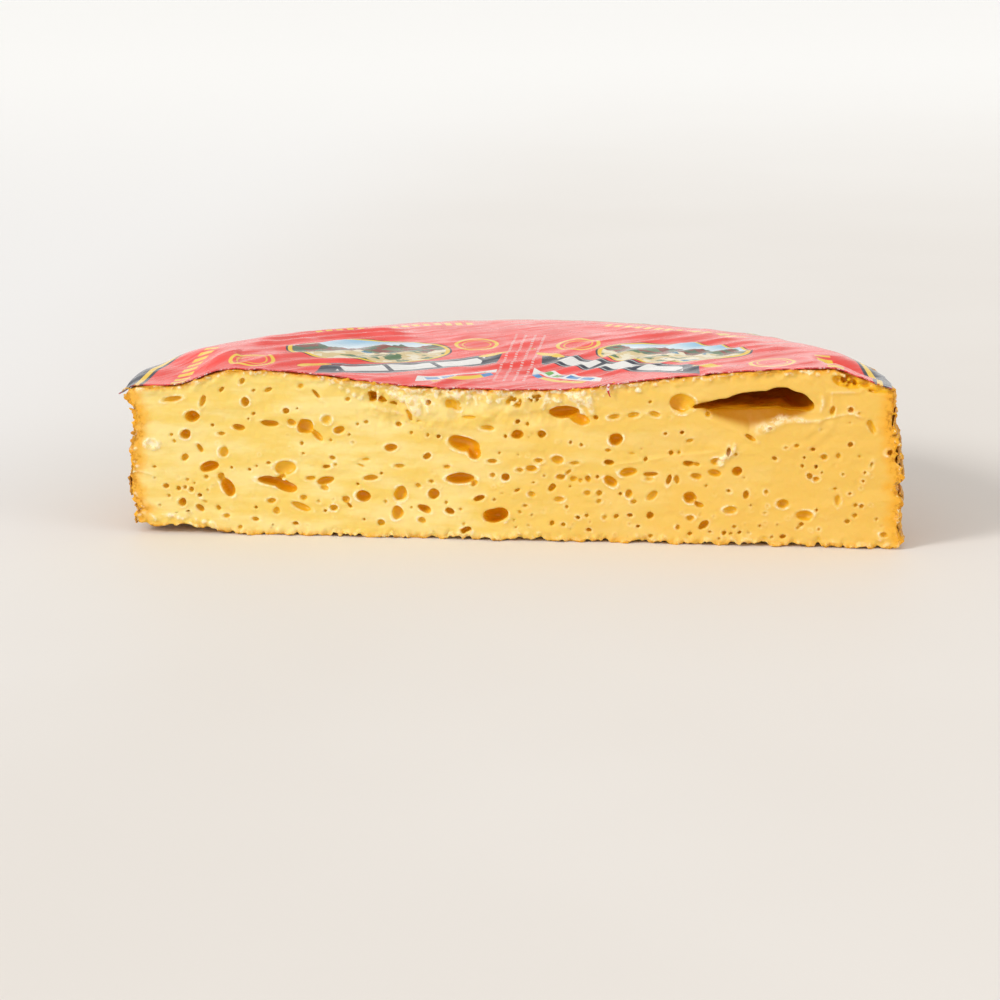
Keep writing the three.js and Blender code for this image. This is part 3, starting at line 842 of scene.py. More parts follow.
def build_label(settings, cheese_settings):
    """A half disc of paper that lies in folds on the top face."""
    wheel = Wheel(cheese_settings)
    radius = settings.radius / MM
    bm = bmesh.new()
    rings = 130
    verts = [bm.verts.new((radius * i / rings, 0, 0)) for i in range(rings + 1)]
    edges = [bm.edges.new(pair) for pair in zip(verts, verts[1:])]
    bmesh.ops.spin(bm, geom=verts + edges, cent=(0, 0, 0), axis=(0, 0, 1), angle=math.pi, steps=200)
    bmesh.ops.remove_doubles(bm, verts=bm.verts, dist=0.001)
    bmesh.ops.recalc_face_normals(bm, faces=bm.faces)
    if bm.faces[0].normal.z < 0:
        bmesh.ops.reverse_faces(bm, faces=bm.faces)
    label = from_bmesh("label", bm)
    points = get_points(label.data)
    across, inward, _ = points.T
    near_cut = 1 - smooth(inward, 0.0, 2.5)
    ragged = 0.2 * noise(points, 1.7, 61, 2) - 0.1
    outer = smooth(np.hypot(across, inward), radius - 1, radius)
    wavy = 1 + outer * 0.003 * noise(points, 14, 63, 2)
    wavy += 0.009 * smooth(-across, 97, radius) * (1 - smooth(inward, 0, 2.5))
    across = across * wavy * PRINT_WIDTH + PRINT_SHIFT
    points = np.stack([across, inward * wavy + near_cut * ragged, points[:, 2]], axis=1)
    points[:, 2] = label_height(wheel, points[:, 0], np.maximum(points[:, 1], 0))
    points[:, 2] += near_cut * 0.10 * noise(points * (1, 0, 0), 2.6, 65, 2)
    set_points(label.data, points)
    label = join([label, label_shred(wheel)])
    modifier = label.modifiers.new("Paper", "SOLIDIFY")
    modifier.thickness = settings.paper
    modifier.offset = 1
    modifier.use_even_offset = True
    apply_modifiers(label)
    mesh = label.data
    mesh.shade_smooth()
    mesh.set_sharp_from_angle(angle=math.radians(50))
    mesh.materials.append(label_material(settings))
    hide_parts("paper_label")
    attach(label, "root")


# ------------------------------------------------------------------ the sedge strips

def build_strip(settings, cheese_settings, node, number):
    """One split sedge leaf: a ribbed band that follows the side in its groove."""
    wheel = Wheel(cheese_settings)
    low, high = (v.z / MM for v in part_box(node))
    columns = 16
    bm = bmesh.new()
    verts = []
    for i in range(columns + 1):
        up = low + (high - low) * i / columns
        verts.append(bm.verts.new((float(wheel.side(np.array([(low + high) / 2]))[0]), 0, up)))
    edges = [bm.edges.new(pair) for pair in zip(verts, verts[1:])]
    bmesh.ops.spin(bm, geom=verts + edges, cent=(0, 0, 0), axis=(0, 0, 1), angle=math.pi, steps=300)
    bmesh.ops.remove_doubles(bm, verts=bm.verts, dist=0.001)
    strip = from_bmesh(node + "_leaf", bm)
    points = get_points(strip.data)
    across, inward, up = points.T
    angle = np.arctan2(inward, across)
    share = (up - low) / (high - low)
    # Ribs along the leaf, edges that curl out, a lumpy lie and a wandering path.
    ribs = 0.10 * np.cos(share * 2 * np.pi * RIBS)
    curl = 0.25 * (np.abs(share - 0.5) * 2) ** 3 * (0.4 + 0.9 * noise(points, 16, 71 + number))
    body = 0.2 * noise(points, 9, 81 + number, 2)
    wander = 0.55 * noise(np.stack([angle * 30, 0 * angle, 0 * angle], axis=1), 12, 91 + number, 2)
    radius = np.hypot(across, inward) + 0.2 + ribs + curl + body + wheel.lumps(points)
    ends = smooth(-inward, -1.2, 0) * 0.5 * noise(points * (0, 0, 1), 0.9, 95 + number, 2)
    points = np.stack([radius * np.cos(angle), radius * np.sin(angle) + ends + 0.15, up + wander], axis=1)
    set_points(strip.data, points)
    set_values(strip.data, "along", angle * wheel.radius)
    set_values(strip.data, "over", share)
    modifier = strip.modifiers.new("Leaf", "SOLIDIFY")
    modifier.thickness = settings.thickness
    modifier.offset = 0
    apply_modifiers(strip)
    strip.data.shade_smooth()
    strip.data.set_sharp_from_angle(angle=math.radians(60))
    strip.data.materials.append(sedge_material(settings))
    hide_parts(node)
    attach(strip, "root")


# ------------------------------------------------------------------ shader helpers

class Graph:
    """Adds shader nodes to a tree and joins them, one call for each node."""

    def __init__(self, tree):
        self.tree = tree

    def add(self, kind, inputs=(), **settings):
        node = self.tree.nodes.new(kind)
        for name, value in settings.items():
            setattr(node, name, value)
        for key, value in dict(inputs).items():
            self.put(value, node.inputs[key])
        return node

    def put(self, value, socket):
        if isinstance(value, bpy.types.NodeSocket):
            self.tree.links.new(value, socket)
        elif hasattr(value, "__len__") and len(value) == 3 and socket.type == "RGBA":
            socket.default_value = (*value, 1)
        else:
            socket.default_value = value

    def math(self, operation, *values):
        node = self.add("ShaderNodeMath", operation=operation)
        for value, socket in zip(values, node.inputs):
            self.put(value, socket)
        return node.outputs[0]

    def reach(self, x, y):
        """Distance from the origin of x and y."""
        squares = self.math("ADD", self.math("POWER", x, 2.0), self.math("POWER", y, 2.0))
        return self.math("POWER", squares, 0.5)

    def both(self, first, second):
        """Where two masks meet, or a mask times a number."""
        return self.math("MULTIPLY", first, second)

    def either(self, first, second):
        """Where one mask or the other holds."""
        return self.math("MAXIMUM", first, second)

    def mix(self, share, first, second):
        """A colour that goes from the first to the second as share goes from 0 to 1."""
        node = self.add("ShaderNodeMix", data_type="RGBA")
        for value, index in ((share, 0), (first, 6), (second, 7)):
            self.put(value, node.inputs[index])
        return node.outputs[2]

    def noise(self, vector, size, detail=2.0, rough=0.5, stretch=(1, 1, 1)):
        """Noise whose patches are about size metres, or size units of the given vector."""
        if stretch != (1, 1, 1):
            vector = self.add("ShaderNodeMapping", {"Vector": vector, "Scale": stretch}).outputs[0]
        node = self.add("ShaderNodeTexNoise", {
            "Vector": vector, "Scale": 1 / size, "Detail": detail, "Roughness": rough})
        return node.outputs["Fac"]

    def ramp(self, value, low, high, start=0.0, end=1.0):
        """A smooth step from start to end while value goes from low to high."""
        node = self.add("ShaderNodeMapRange", {
            "Value": value, "From Min": low, "From Max": high, "To Min": start, "To Max": end},
            interpolation_type="SMOOTHSTEP")
        return node.outputs["Result"]

    def steps(self, value, colours):
        """Plain bands of colour, one for each (start, colour)."""
        node = self.add("ShaderNodeValToRGB", {"Fac": value})
        node.color_ramp.interpolation = "CONSTANT"
        elements = node.color_ramp.elements
        while len(elements) < len(colours):
            elements.new(0.5)
        for element, (start, shade) in zip(elements, colours):
            element.position = start
            element.color = (*shade, 1)
        return node.outputs["Color"]

    def attribute(self, name):
        return self.add("ShaderNodeAttribute", attribute_name=name).outputs["Fac"]

    def place(self):
        return self.add("ShaderNodeTexCoord").outputs["Object"]

    def local(self, vector, centre, turn=0.0, unit=MM):
        """Coordinates in units of length from a centre, turned by degrees."""
        node = self.add("ShaderNodeMapping", {
            "Vector": vector, "Location": centre, "Rotation": (0, 0, math.radians(turn)),
            "Scale": (unit, unit, unit)}, vector_type="TEXTURE")
        return node.outputs[0]

    def split(self, vector):
        return self.add("ShaderNodeSeparateXYZ", {"Vector": vector}).outputs

    def merge(self, x, y, z=0.0):
        return self.add("ShaderNodeCombineXYZ", {"X": x, "Y": y, "Z": z}).outputs[0]

    def bump(self, height, strength, distance):
        inputs = {"Height": height, "Strength": strength, "Distance": distance}
        return self.add("ShaderNodeBump", inputs).outputs[0]


def new_group(name, inputs, outputs):
    """A node group with its named sockets; gives its graph and both sides' sockets."""
    tree = bpy.data.node_groups.new(name, "ShaderNodeTree")
    for socket_name, kind in inputs:
        tree.interface.new_socket(socket_name, in_out="INPUT", socket_type=kind)
    for socket_name, kind in outputs:
        tree.interface.new_socket(socket_name, in_out="OUTPUT", socket_type=kind)
    graph = Graph(tree)
    return graph, graph.add("NodeGroupInput").outputs, graph.add("NodeGroupOutput").inputs


def use_group(graph, name, inputs):
    """Places a node group by its name; gives its output sockets."""
    node = graph.add("ShaderNodeGroup", node_tree=bpy.data.node_groups[name])
    for key, value in inputs.items():
        graph.put(value, node.inputs[key])
    return node.outputs


def new_material(name):
    """A material, the graph of its nodes and its main shader."""
    material = bpy.data.materials.new(name)
    material.use_nodes = True
    tree = material.node_tree
    return material, Graph(tree), tree.nodes["Principled BSDF"]


VECTOR, FLOAT, COLOUR = "NodeSocketVector", "NodeSocketFloat", "NodeSocketColor"
PRINT_SOCKETS = [("Color", COLOUR), ("Mask", FLOAT)]  # what each printed picture gives


def blotch_group():
    """Patches where a surface is stained or worn: used on the rind, the paper and the strips."""
    if "Blotches" in bpy.data.node_groups:
        return
    graph, given, result = new_group(
        "Blotches", [("Vector", VECTOR), ("Scale", FLOAT), ("Amount", FLOAT)], [("Mask", FLOAT)])
    warp = graph.add("ShaderNodeTexNoise", {
        "Vector": given["Vector"], "Scale": given["Scale"],
        "Detail": 4.0, "Roughness": 0.62, "Distortion": 0.6}).outputs["Fac"]
    edge = graph.math("SUBTRACT", 0.78, graph.math("MULTIPLY", given["Amount"], 0.5))
    graph.put(graph.ramp(graph.math("SUBTRACT", warp, edge), -0.04, 0.10), result["Mask"])


def blotches(graph, vector, size, amount):
    """Mask of patches about size across, over a share of the surface."""
    blotch_group()
    return use_group(graph, "Blotches", {"Vector": vector, "Scale": 1 / size, "Amount": amount})["Mask"]


# ------------------------------------------------------------------ materials

RIPE_SPECK = (0.55, 0.23, 0.008)
PALE_BLOOM = (0.90, 0.74, 0.48)


def paste_material(settings):
    """Moist paste, glossy eyes and a sticky, rough rind."""
    material, graph, shader = new_material("paste_and_rind")
    pale, warm_and_shaded, plain = tuple(settings.paste_pale), tuple(settings.paste_warm_and_shaded), tuple(settings.paste)
    rind_plain, rind_dark = tuple(settings.rind), tuple(settings.rind_dark)
    place = graph.place()
    under = graph.attribute("under_rind")
    hollow = graph.attribute("hollow")
    crumb = graph.attribute("crumb")
    ripple = graph.noise(place, 0.0016, 3)
    speck = graph.noise(place, 0.0015, 5, 0.7)
    cloud = graph.noise(place, 0.020, 3)
    smear = graph.noise(place, 0.006, 4, 0.55, (0.35, 1, 1.3))
    # The cut: pale smears, warmer to the right (partly the paste's own colour, partly painted shade on the
    # side away from the key light), golden near the rind, and painted shade in the scoop.
    base = graph.mix(graph.ramp(smear, 0.38, 0.66), plain, pale)
    side = graph.math("MULTIPLY_ADD", graph.math("SUBTRACT", cloud, 0.5), 0.09, graph.split(place)[0])
    # Painted shade: the paste darker and more orange to the right, away from the key light, partly its own
    # warmer colour.
    base = graph.mix(graph.ramp(side, -0.06, 0.10), base, warm_and_shaded)
    ripening = graph.math("MULTIPLY_ADD", graph.math("SUBTRACT", ripple, 0.5), 0.7, graph.attribute("ripe"))
    base = graph.mix(graph.ramp(ripening, 0.1, 1.1, 0, 0.85), base, rind_plain)
    ripe_speck = graph.both(graph.ramp(ripening, 0.7, 1.1), graph.ramp(speck, 0.52, 0.42))
    base = graph.mix(ripe_speck, base, RIPE_SPECK)
    # Painted shade in the scoop under the split.
    base = graph.mix(graph.ramp(graph.attribute("scoop"), 0.0, 1.5, 0, 1), base, tuple(settings.scoop))
    # The eyes and the split, darker with depth: painted shade, golden in shallow eyes and darker and more
    # orange deeper in, for shade and light scattered in the paste.
    lining = graph.ramp(hollow, 0.04, 0.5)
    shade = graph.mix(graph.both(lining, 0.95), base, tuple(settings.shallow_eye_painted_shade))
    shade = graph.mix(graph.ramp(hollow, 0.6, 2.4), shade, tuple(settings.hollow))
    shade = graph.mix(graph.ramp(hollow, 3.5, 10.0), shade, tuple(settings.deep))
    # Dry crumbs, and painted highlight on the lips of the eyes and on the knife's ridges, then the rind.
    patch = graph.noise(place, 0.009, 3, 0.6)
    crumb_and_highlight_mask = graph.both(crumb, graph.ramp(speck, 0.40, 0.56, 0.2, 1))
    shade = graph.mix(crumb_and_highlight_mask, shade, tuple(settings.crumb))
    rind = graph.mix(graph.ramp(patch, 0.42, 0.68, 0, 0.55), rind_plain, rind_dark)
    rind = graph.mix(graph.ramp(speck, 0.42, 0.34), rind, rind_dark)
    rind = graph.mix(graph.ramp(speck, 0.56, 0.66, 0, 0.9), rind, tuple(settings.crumb))
    rind = graph.mix(blotches(graph, place, 0.006, 0.22), rind, PALE_BLOOM)
    edge = graph.math("MULTIPLY_ADD", graph.math("SUBTRACT", ripple, 0.5), 1.8, under)
    on_rind = graph.ramp(edge, 0.15, 0.65, 1, 0)
    graph.put(graph.mix(on_rind, shade, rind), shader.inputs["Base Color"])
    rough = graph.math("ADD", graph.ramp(smear, 0.3, 0.7, 0.36, 0.5), graph.both(on_rind, 0.2))
    rough = graph.math("SUBTRACT", rough, graph.both(lining, 0.12))
    graph.put(rough, shader.inputs["Roughness"])
    fine = graph.noise(place, 0.0008, 3, 0.6)
    skin = graph.both(graph.noise(place, 0.0022, 5, 0.65), graph.math("MULTIPLY_ADD", on_rind, 2.2, 0.2))
    height = graph.math("ADD", graph.both(fine, 0.4), skin)
    graph.put(graph.bump(height, 0.5, 0.0004), shader.inputs["Normal"])
    shader.inputs["Subsurface Weight"].default_value = 0.25
    shader.inputs["Subsurface Radius"].default_value = (1.0, 0.4, 0.08)
    shader.inputs["Subsurface Scale"].default_value = 0.0022
    shader.inputs["Specular IOR Level"].default_value = 0.3
    return material


LOW_SKY, HIGH_SKY = (0.72, 0.84, 0.90), (0.30, 0.55, 0.75)
FAR_HILLS = [(0.0, (0.10, 0.16, 0.10)), (0.46, (0.26, 0.07, 0.05)), (0.58, (0.16, 0.24, 0.14))]
FIELDS = [(0.0, (0.08, 0.17, 0.06)), (0.42, (0.70, 0.55, 0.28)),
          (0.52, (0.83, 0.75, 0.55)), (0.62, (0.06, 0.22, 0.36))]
GREEN_INK, BLUE_INK = (0.16, 0.42, 0.10), (0.05, 0.24, 0.55)


def oval_picture_group(settings):
    """An oval view of plain hills under a pale sky, with a yellow rim. Units are millimetres."""
    graph, given, result = new_group("Oval picture", [("Vector", VECTOR)], PRINT_SOCKETS)
    x, y, _ = graph.split(given["Vector"])
    oval = graph.reach(graph.math("DIVIDE", x, 23.0), graph.math("DIVIDE", y, 12.5))
    ridge = graph.noise(graph.merge(x, 0.0), 9.0, 3)
    near = graph.noise(graph.merge(x, 7.0), 6.0, 2)
    patch = graph.noise(given["Vector"], 5.0, 2, 0.5, (0.6, 1.4, 1))
    sky = graph.mix(graph.ramp(y, 3.0, 12.0), LOW_SKY, HIGH_SKY)
    far = graph.steps(patch, FAR_HILLS)
    fields = graph.steps(patch, FIELDS)
    hills = graph.ramp(graph.math("SUBTRACT", graph.math("MULTIPLY_ADD", ridge, 14.0, -2.5), y), -0.2, 0.2)
    front = graph.ramp(graph.math("SUBTRACT", graph.math("MULTIPLY_ADD", near, 9.0, -6.0), y), -0.2, 0.2)
    picture = graph.mix(front, graph.mix(hills, sky, far), fields)
    picture = graph.mix(graph.ramp(oval, 0.925, 0.935), picture, tuple(settings.yellow))
    picture = graph.mix(graph.ramp(oval, 0.975, 0.985), picture, tuple(settings.navy))
    graph.put(picture, result["Color"])
    graph.put(graph.ramp(oval, 1.0, 1.01, 1, 0), result["Mask"])


def banner_group(settings):
    """A dark banner with three long plain bars and two yellow ends. Units are millimetres."""
    graph, given, result = new_group("Banner", [("Vector", VECTOR)], PRINT_SOCKETS)
    x, y, _ = graph.split(given["Vector"])
    slant = graph.math("ABSOLUTE", graph.math("MULTIPLY_ADD", y, 0.8, x))
    tall = graph.math("ABSOLUTE", y)
    body = graph.both(graph.ramp(slant, 26.3, 26.5, 1, 0), graph.ramp(tall, 4.7, 4.85, 1, 0))
    beat = graph.math("FRACT", graph.math("MULTIPLY", graph.math("ADD", x, 7.1), 1 / 14.2))
    bar = graph.both(graph.ramp(beat, 0.05, 0.06), graph.ramp(beat, 0.94, 0.95, 1, 0))
    bar = graph.both(bar, graph.both(graph.ramp(tall, 2.5, 2.65, 1, 0), graph.ramp(slant, 21.0, 21.2, 1, 0)))
    line = graph.both(graph.ramp(tall, 3.9, 4.0), graph.ramp(tall, 4.25, 4.35, 1, 0))
    pale = graph.either(bar, graph.both(line, 0.6))
    shade = graph.mix(pale, tuple(settings.navy), tuple(settings.white))
    end_x = graph.math("DIVIDE", graph.math("SUBTRACT", graph.math("ABSOLUTE", x), 26.5), 5.0)
    end_y = graph.math("DIVIDE", graph.math("SUBTRACT", y, 3.6), 1.6)
    end = graph.ramp(graph.reach(end_x, end_y), 0.95, 1.0, 1, 0)
    graph.put(graph.mix(end, shade, tuple(settings.yellow)), result["Color"])
    graph.put(graph.either(body, end), result["Mask"])


def tag_group(settings):
    """A small white tag with coloured dashes over a yellow stroke. Units are millimetres."""
    graph, given, result = new_group("Tag", [("Vector", VECTOR)], PRINT_SOCKETS)
    x, y, _ = graph.split(given["Vector"])
    slant = graph.math("ABSOLUTE", graph.math("MULTIPLY_ADD", y, 0.7, x))
    tall = graph.math("ABSOLUTE", y)
    body = graph.both(graph.ramp(slant, 11.8, 12.0, 1, 0), graph.ramp(tall, 1.9, 2.05, 1, 0))
    beat = graph.math("FRACT", graph.math("MULTIPLY", x, 1 / 4.8))
    dash = graph.both(graph.both(graph.ramp(beat, 0.09, 0.11), graph.ramp(beat, 0.89, 0.91, 1, 0)),
                      graph.both(graph.ramp(tall, 1.0, 1.1, 1, 0), graph.ramp(slant, 9.6, 9.8, 1, 0)))
    ink = graph.mix(graph.ramp(x, -2.0, -1.9), GREEN_INK, BLUE_INK)
    shade = graph.mix(dash, tuple(settings.white), ink)
    bend = graph.math("POWER", graph.math("DIVIDE", x, 9.0), 2.0)
    stroke_y = graph.math("ADD", y, graph.math("MULTIPLY_ADD", bend, -1.4, 4.4))
    stroke = graph.both(graph.ramp(graph.math("ABSOLUTE", stroke_y), 0.9, 1.05, 1, 0),
                        graph.ramp(graph.math("ABSOLUTE", x), 8.8, 9.0, 1, 0))
    tip = graph.ramp(x, -5.6, -5.5)
    ink = graph.mix(tip, BLUE_INK, tuple(settings.yellow))
    graph.put(graph.mix(stroke, shade, ink), result["Color"])
    graph.put(graph.either(body, stroke), result["Mask"])


def ring_mark(graph, vector, centre):
    """Mask of a small double ring on the label."""
    x, y, _ = graph.split(graph.local(vector, centre, 0, 1))
    reach = graph.reach(x, y)
    wide = graph.ramp(graph.math("ABSOLUTE", graph.math("SUBTRACT", reach, 5.6)), 0.45, 0.6, 1, 0)
    thin = graph.ramp(graph.math("ABSOLUTE", graph.math("SUBTRACT", reach, 3.9)), 0.15, 0.28, 0.8, 0)
    return graph.either(wide, thin)


BRIGHT_RED, TORN_RED, STAINED_RED = (0.90, 0.07, 0.06), (0.42, 0.008, 0.012), (0.40, 0.012, 0.01)
BORDER = (94.4, "navy"), (95.4, "yellow"), (96.9, "navy")  # where each band of the border starts


def label_material(settings):
    """Glossy printed paper: a red ground, two pictures with banners, rings and a striped border."""
    oval_picture_group(settings)
    banner_group(settings)
    tag_group(settings)
    material, graph, shader = new_material("label_paper")
    place = graph.place()
    plan = graph.local(place, (0, CUT_Y, 0))
    x, y, _ = graph.split(plan)
    mirror = graph.merge(graph.math("ABSOLUTE", graph.math("ADD", x, 0.5)), y)
    edge_plan = graph.local(place, (PRINT_SHIFT * MM, CUT_Y, 0))
    red, yellow, white = tuple(settings.red), tuple(settings.yellow), tuple(settings.white)
    ink = graph.noise(plan, 9.0, 3)
    shade = graph.mix(graph.ramp(ink, 0.35, 0.7), red, BRIGHT_RED)
    # Columns of dots up the middle.
    aside = graph.math("ABSOLUTE", x)
    columns = graph.math("ABSOLUTE", graph.math("ADD", x, 0.8))
    columns = graph.math("FRACT", graph.math("MULTIPLY", columns, 1 / 2.6))
    beat = graph.math("FRACT", graph.math("MULTIPLY", y, 1 / 1.5))
    dots = graph.both(graph.ramp(columns, 0.35, 0.4), graph.ramp(columns, 0.62, 0.67, 1, 0))
    dots = graph.both(graph.both(dots, graph.ramp(beat, 0.4, 0.5)), graph.ramp(aside, 5.0, 5.1, 1, 0))
    dots = graph.both(dots, graph.both(graph.ramp(y, 9.0, 9.2), graph.ramp(y, 62.0, 62.5, 1, 0)))
    shade = graph.mix(graph.both(dots, 0.55), shade, white)
    # Two mirrored groups: rings, a picture, a banner and a tag.
    for centre in ((14.0, 50.0, 0), (68.0, 9.0, 0)):
        shade = graph.mix(ring_mark(graph, mirror, centre), shade, yellow)
    picture = use_group(graph, "Oval picture", {"Vector": graph.local(mirror, (41.0, 34.0, 0), -27, 1)})
    shade = graph.mix(picture["Mask"], shade, picture["Color"])
    banner = use_group(graph, "Banner", {"Vector": graph.local(mirror, (27.5, 21.5, 0), -34, 1)})
    shade = graph.mix(banner["Mask"], shade, banner["Color"])
    tag = use_group(graph, "Tag", {"Vector": graph.local(mirror, (14.5, 14.0, 0), -36, 1)})
    shade = graph.mix(tag["Mask"], shade, tag["Color"])
    # Ticks and bands along the round edge.
    rim_x, rim_y, _ = graph.split(edge_plan)
    reach = graph.reach(rim_x, graph.math("MULTIPLY", rim_y, 1.07))
    angle = graph.math("ARCTAN2", y, x)
    beat = graph.math("FRACT", graph.math("MULTIPLY", angle, 26.0))
    marks = graph.both(graph.ramp(beat, 0.12, 0.18), graph.ramp(beat, 0.72, 0.78, 1, 0))
    gaps = graph.ramp(graph.math("COSINE", graph.math("MULTIPLY", angle, 6.0)), -0.2, -0.1)
    band = graph.ramp(graph.math("ABSOLUTE", graph.math("SUBTRACT", reach, 85.0)), 2.0, 2.2, 1, 0)
    marks = graph.both(graph.both(marks, gaps), band)
    shade = graph.mix(marks, shade, yellow)
    for start, ink_name in BORDER:
        band_ink = tuple(getattr(settings, ink_name))
        shade = graph.mix(graph.ramp(reach, start - 0.08, start + 0.08), shade, band_ink)
    # Bare and stained fibres along the cut, and blotches all over.
    fibre = graph.noise(place, 0.0011, 4, 0.7)
    torn = graph.math("ADD", y, graph.math("MULTIPLY", graph.math("SUBTRACT", fibre, 0.5), 2.2))
    frayed = graph.mix(graph.ramp(fibre, 0.5, 0.6), TORN_RED, white)
    shade = graph.mix(graph.ramp(torn, -0.2, 0.3, 0.85, 0), shade, frayed)
    stain = blotches(graph, place, 0.012, 0.2)
    shade = graph.mix(graph.both(stain, 0.25), shade, STAINED_RED)
    graph.put(shade, shader.inputs["Base Color"])
    graph.put(graph.ramp(graph.noise(place, 0.010, 3), 0.3, 0.7, 0.20, 0.30), shader.inputs["Roughness"])
    crease = graph.noise(place, 0.005, 4, 0.6, (1, 0.45, 1))
    streak = graph.noise(graph.local(plan, (0, 0, 0), 38.5, 1), 4.5, 2, 0.5, (0.15, 1, 1))
    height = graph.math("ADD", graph.both(streak, 2.6), crease)
    height = graph.math("ADD", height, graph.both(graph.noise(place, 0.0006, 2), 0.12))
    graph.put(graph.bump(height, 0.45, 0.0006), shader.inputs["Normal"])
    shader.inputs["Specular IOR Level"].default_value = 0.65
    shader.inputs["Coat Weight"].default_value = 0.1
    shader.inputs["Coat Roughness"].default_value = 0.16
    return material


# The first is painted shade for the grooves between the ribs; the others are stains and flecks.
RIB_GROOVE_PAINTED_SHADE, LEAF_STAIN, LEAF_FLECK = (0.20, 0.07, 0.012), (0.52, 0.22, 0.03), (0.74, 0.46, 0.16)


def sedge_material(settings):
    """Dry plant strip, stained by the rind, with fibres that run along it."""
    name = "sedge leaf"
    if name in bpy.data.materials:
        return bpy.data.materials[name]
    material, graph, shader = new_material(name)
    place = graph.place()
    along = graph.attribute("along")
    over = graph.attribute("over")
    lanes = graph.merge(graph.math("MULTIPLY", along, 0.06), graph.math("MULTIPLY", over, 9.0),
                        graph.split(place)[2])
    fibre = graph.noise(lanes, 0.5, 5, 0.7)
    ribs = graph.math("COSINE", graph.math("MULTIPLY", over, 2 * math.pi * RIBS))
    shade = graph.mix(graph.ramp(fibre, 0.35, 0.65), tuple(settings.stain), tuple(settings.straw))
    # Painted shade: darker in the grooves between the ribs.
    shade = graph.mix(graph.ramp(ribs, -0.6, -1.0, 0, 0.5), shade, RIB_GROOVE_PAINTED_SHADE)
    shade = graph.mix(blotches(graph, place, 0.009, 0.4), shade, LEAF_STAIN)
    aside = graph.local(place, (0.2, 0.4, 0.1), 0, 1)
    shade = graph.mix(blotches(graph, aside, 0.003, 0.2), shade, LEAF_FLECK)
    graph.put(shade, shader.inputs["Base Color"])
    graph.put(graph.ramp(fibre, 0.3, 0.7, 0.62, 0.8), shader.inputs["Roughness"])
    height = graph.math("ADD", fibre, graph.both(ribs, 0.3))
    graph.put(graph.bump(height, 0.6, 0.0003), shader.inputs["Normal"])
    return material


FLOOR_PLAIN, FLOOR_LIGHT = (0.76, 0.72, 0.68), (0.79, 0.755, 0.72)
FLOOR_LEFT_PAINTED_LIGHT, FLOOR_FAR = (0.85, 0.84, 0.84), (0.98, 0.98, 0.975)


def floor_material():
    """A pale matt table top, lighter further away, with painted light that makes it lighter to the left."""
    material, graph, shader = new_material("pale_floor")
    place = graph.place()
    across, inward, _ = graph.split(place)
    shade = graph.mix(graph.ramp(graph.noise(place, 0.25, 3), 0.3, 0.7), FLOOR_PLAIN, FLOOR_LIGHT)
    # Painted light: the floor lighter towards the left, where the key light comes from.
    shade = graph.mix(graph.ramp(across, -0.05, -0.25), shade, FLOOR_LEFT_PAINTED_LIGHT)
    shade = graph.mix(graph.ramp(inward, 0.1, 1.4), shade, FLOOR_FAR)
    graph.put(shade, shader.inputs["Base Color"])
    shader.inputs["Roughness"].default_value = 0.6
    shader.inputs["Specular IOR Level"].default_value = 0.25
    return material


# ------------------------------------------------------------------ the stage

def add_camera():
    """A long lens, a little to the right of the cut face and above it."""
    azimuth, elevation, roll = math.radians(7.26), math.radians(13.94), math.radians(-0.59)
    target = Vector((-0.0021, CUT_Y, 0.0109))
    distance = 0.7204
    forward = Vector((
        -math.sin(azimuth) * math.cos(elevation),
        math.cos(azimuth) * math.cos(elevation),
        -math.sin(elevation),
    ))
    level = Vector((math.cos(azimuth), math.sin(azimuth), 0))
    rise = level.cross(forward)
    right = level * math.cos(roll) + rise * math.sin(roll)
    upward = rise * math.cos(roll) - level * math.sin(roll)
    data = bpy.data.cameras.new("camera")
    data.lens = 100
    data.sensor_width = 36
    camera = bpy.data.objects.new("camera", data)
    turn = Matrix((right, upward, -forward)).transposed().to_4x4()
    camera.matrix_world = Matrix.Translation(target - forward * distance) @ turn
    bpy.context.scene.collection.objects.link(camera)
    bpy.context.scene.camera = camera


def add_light(name, kind, place, power, shade, size):
    """A lamp that points at the cheese: a sun with its angle, or a disc with its width."""
    data = bpy.data.lights.new(name, kind)
    data.energy = power
    data.color = shade
    if kind == "SUN":
        data.angle = math.radians(size)
    else:
        data.shape = "DISK"
        data.size = size
    lamp = bpy.data.objects.new(name, data)
    lamp.location = place
    lamp.rotation_euler = (Vector(LAMP_AIM) - Vector(place)).to_track_quat("-Z", "Y").to_euler()
    bpy.context.scene.collection.objects.link(lamp)


def make_room():
    """Even light that is brightest near the horizon and dimmer overhead."""
    world = bpy.data.worlds.new("room")
    world.use_nodes = True
    graph = Graph(world.node_tree)
    background = world.node_tree.nodes["Background"]
    height = graph.split(graph.add("ShaderNodeTexCoord").outputs["Generated"])[2]
    graph.put(graph.ramp(height, 0.10, 0.55, 1.23, 0.63), background.inputs["Strength"])
    background.inputs["Color"].default_value = (1, 0.985, 0.96, 1)
    bpy.context.scene.world = world


def build_stage():
    """The floor, the camera and the light."""
    bm = bmesh.new()
    bmesh.ops.create_grid(bm, x_segments=1, y_segments=1, size=FLOOR_REACH)
    floor = from_bmesh("floor", bm)
    floor.data.materials.append(floor_material())
    add_camera()
    add_light("key", "SUN", (-0.9, -0.62, 0.72), 1.56, (1, 0.985, 0.95), 18)
    add_light("window", "AREA", (-1.3, -1.5, 0.84), 4.6, (1, 0.99, 0.97), 1.0)
    add_light("side fill", "AREA", (1.8, -0.7, 0.7), 9.2, (1, 0.99, 0.97), 1.2)
    make_room()
    bpy.context.scene.view_settings.view_transform = "Standard"


# ------------------------------------------------------------------ operators and panel

class CHEESE_OT_add_half(bpy.types.Operator):
    """Build the half wheel of paste and rind"""

    bl_idname = "cheese.add_half"
    bl_label = "Add Half Wheel"

    def execute(self, context):
        build_cheese(context.scene.cheese_settings)
        return {"FINISHED"}


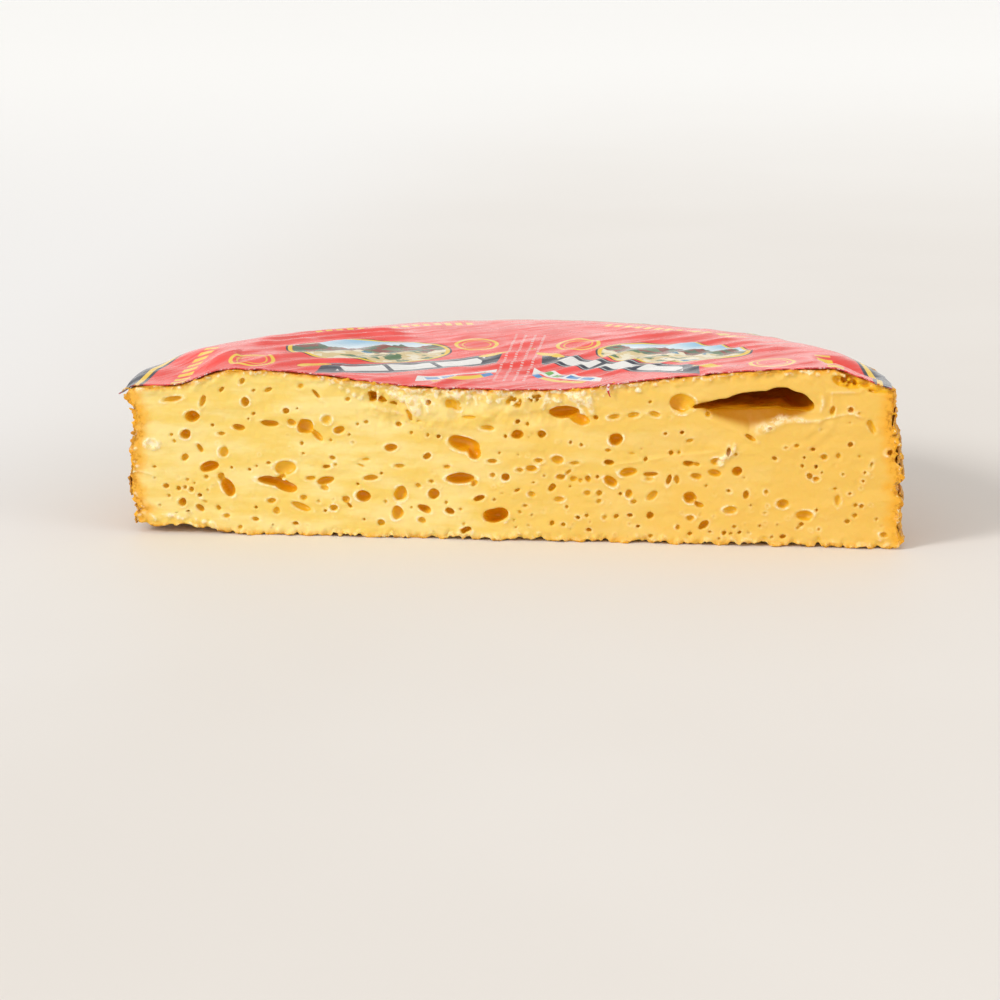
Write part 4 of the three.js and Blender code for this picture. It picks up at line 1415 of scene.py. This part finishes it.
class CHEESE_OT_add_label(bpy.types.Operator):
    """Build the paper label on the top face"""

    bl_idname = "cheese.add_label"
    bl_label = "Add Label"

    def execute(self, context):
        build_label(context.scene.label_settings, context.scene.cheese_settings)
        return {"FINISHED"}


class CHEESE_OT_add_strips(bpy.types.Operator):
    """Build the sedge strips bound round the side"""

    bl_idname = "cheese.add_strips"
    bl_label = "Add Sedge Strips"

    def execute(self, context):
        for number, node in enumerate(STRIP_NODES):
            build_strip(context.scene.strip_settings, context.scene.cheese_settings, node, number)
        return {"FINISHED"}


class CHEESE_OT_add_stage(bpy.types.Operator):
    """Build the floor, the lights and the camera"""

    bl_idname = "cheese.add_stage"
    bl_label = "Add Stage"

    def execute(self, context):
        build_stage()
        return {"FINISHED"}


OPERATORS = (CHEESE_OT_add_half, CHEESE_OT_add_label, CHEESE_OT_add_strips, CHEESE_OT_add_stage)
SETTINGS = {
    "cheese_settings": CheeseSettings,
    "label_settings": LabelSettings,
    "strip_settings": StripSettings,
}


class CHEESE_PT_pieces(bpy.types.Panel):
    """Lists the pieces of the half wheel"""

    bl_label = "Half Cheese Wheel"
    bl_idname = "CHEESE_PT_pieces"
    bl_space_type = "VIEW_3D"
    bl_region_type = "UI"
    bl_category = "Cheese"

    def draw(self, context):
        for operator in OPERATORS:
            self.layout.operator(operator.bl_idname)
        for name in SETTINGS:
            box = self.layout.box()
            settings = getattr(context.scene, name)
            for key in settings.__annotations__:
                box.prop(settings, key)


CLASSES = (*SETTINGS.values(), *OPERATORS, CHEESE_PT_pieces)


def register():
    for item in CLASSES:
        bpy.utils.register_class(item)
    for name, group in SETTINGS.items():
        setattr(bpy.types.Scene, name, bpy.props.PointerProperty(type=group))


def unregister():
    for name in SETTINGS:
        delattr(bpy.types.Scene, name)
    for item in reversed(CLASSES):
        bpy.utils.unregister_class(item)


def main():
    register()
    bpy.ops.cheese.add_stage()
    bpy.ops.cheese.add_half()
    bpy.ops.cheese.add_label()
    bpy.ops.cheese.add_strips()


if __name__ == "__main__":
    main()
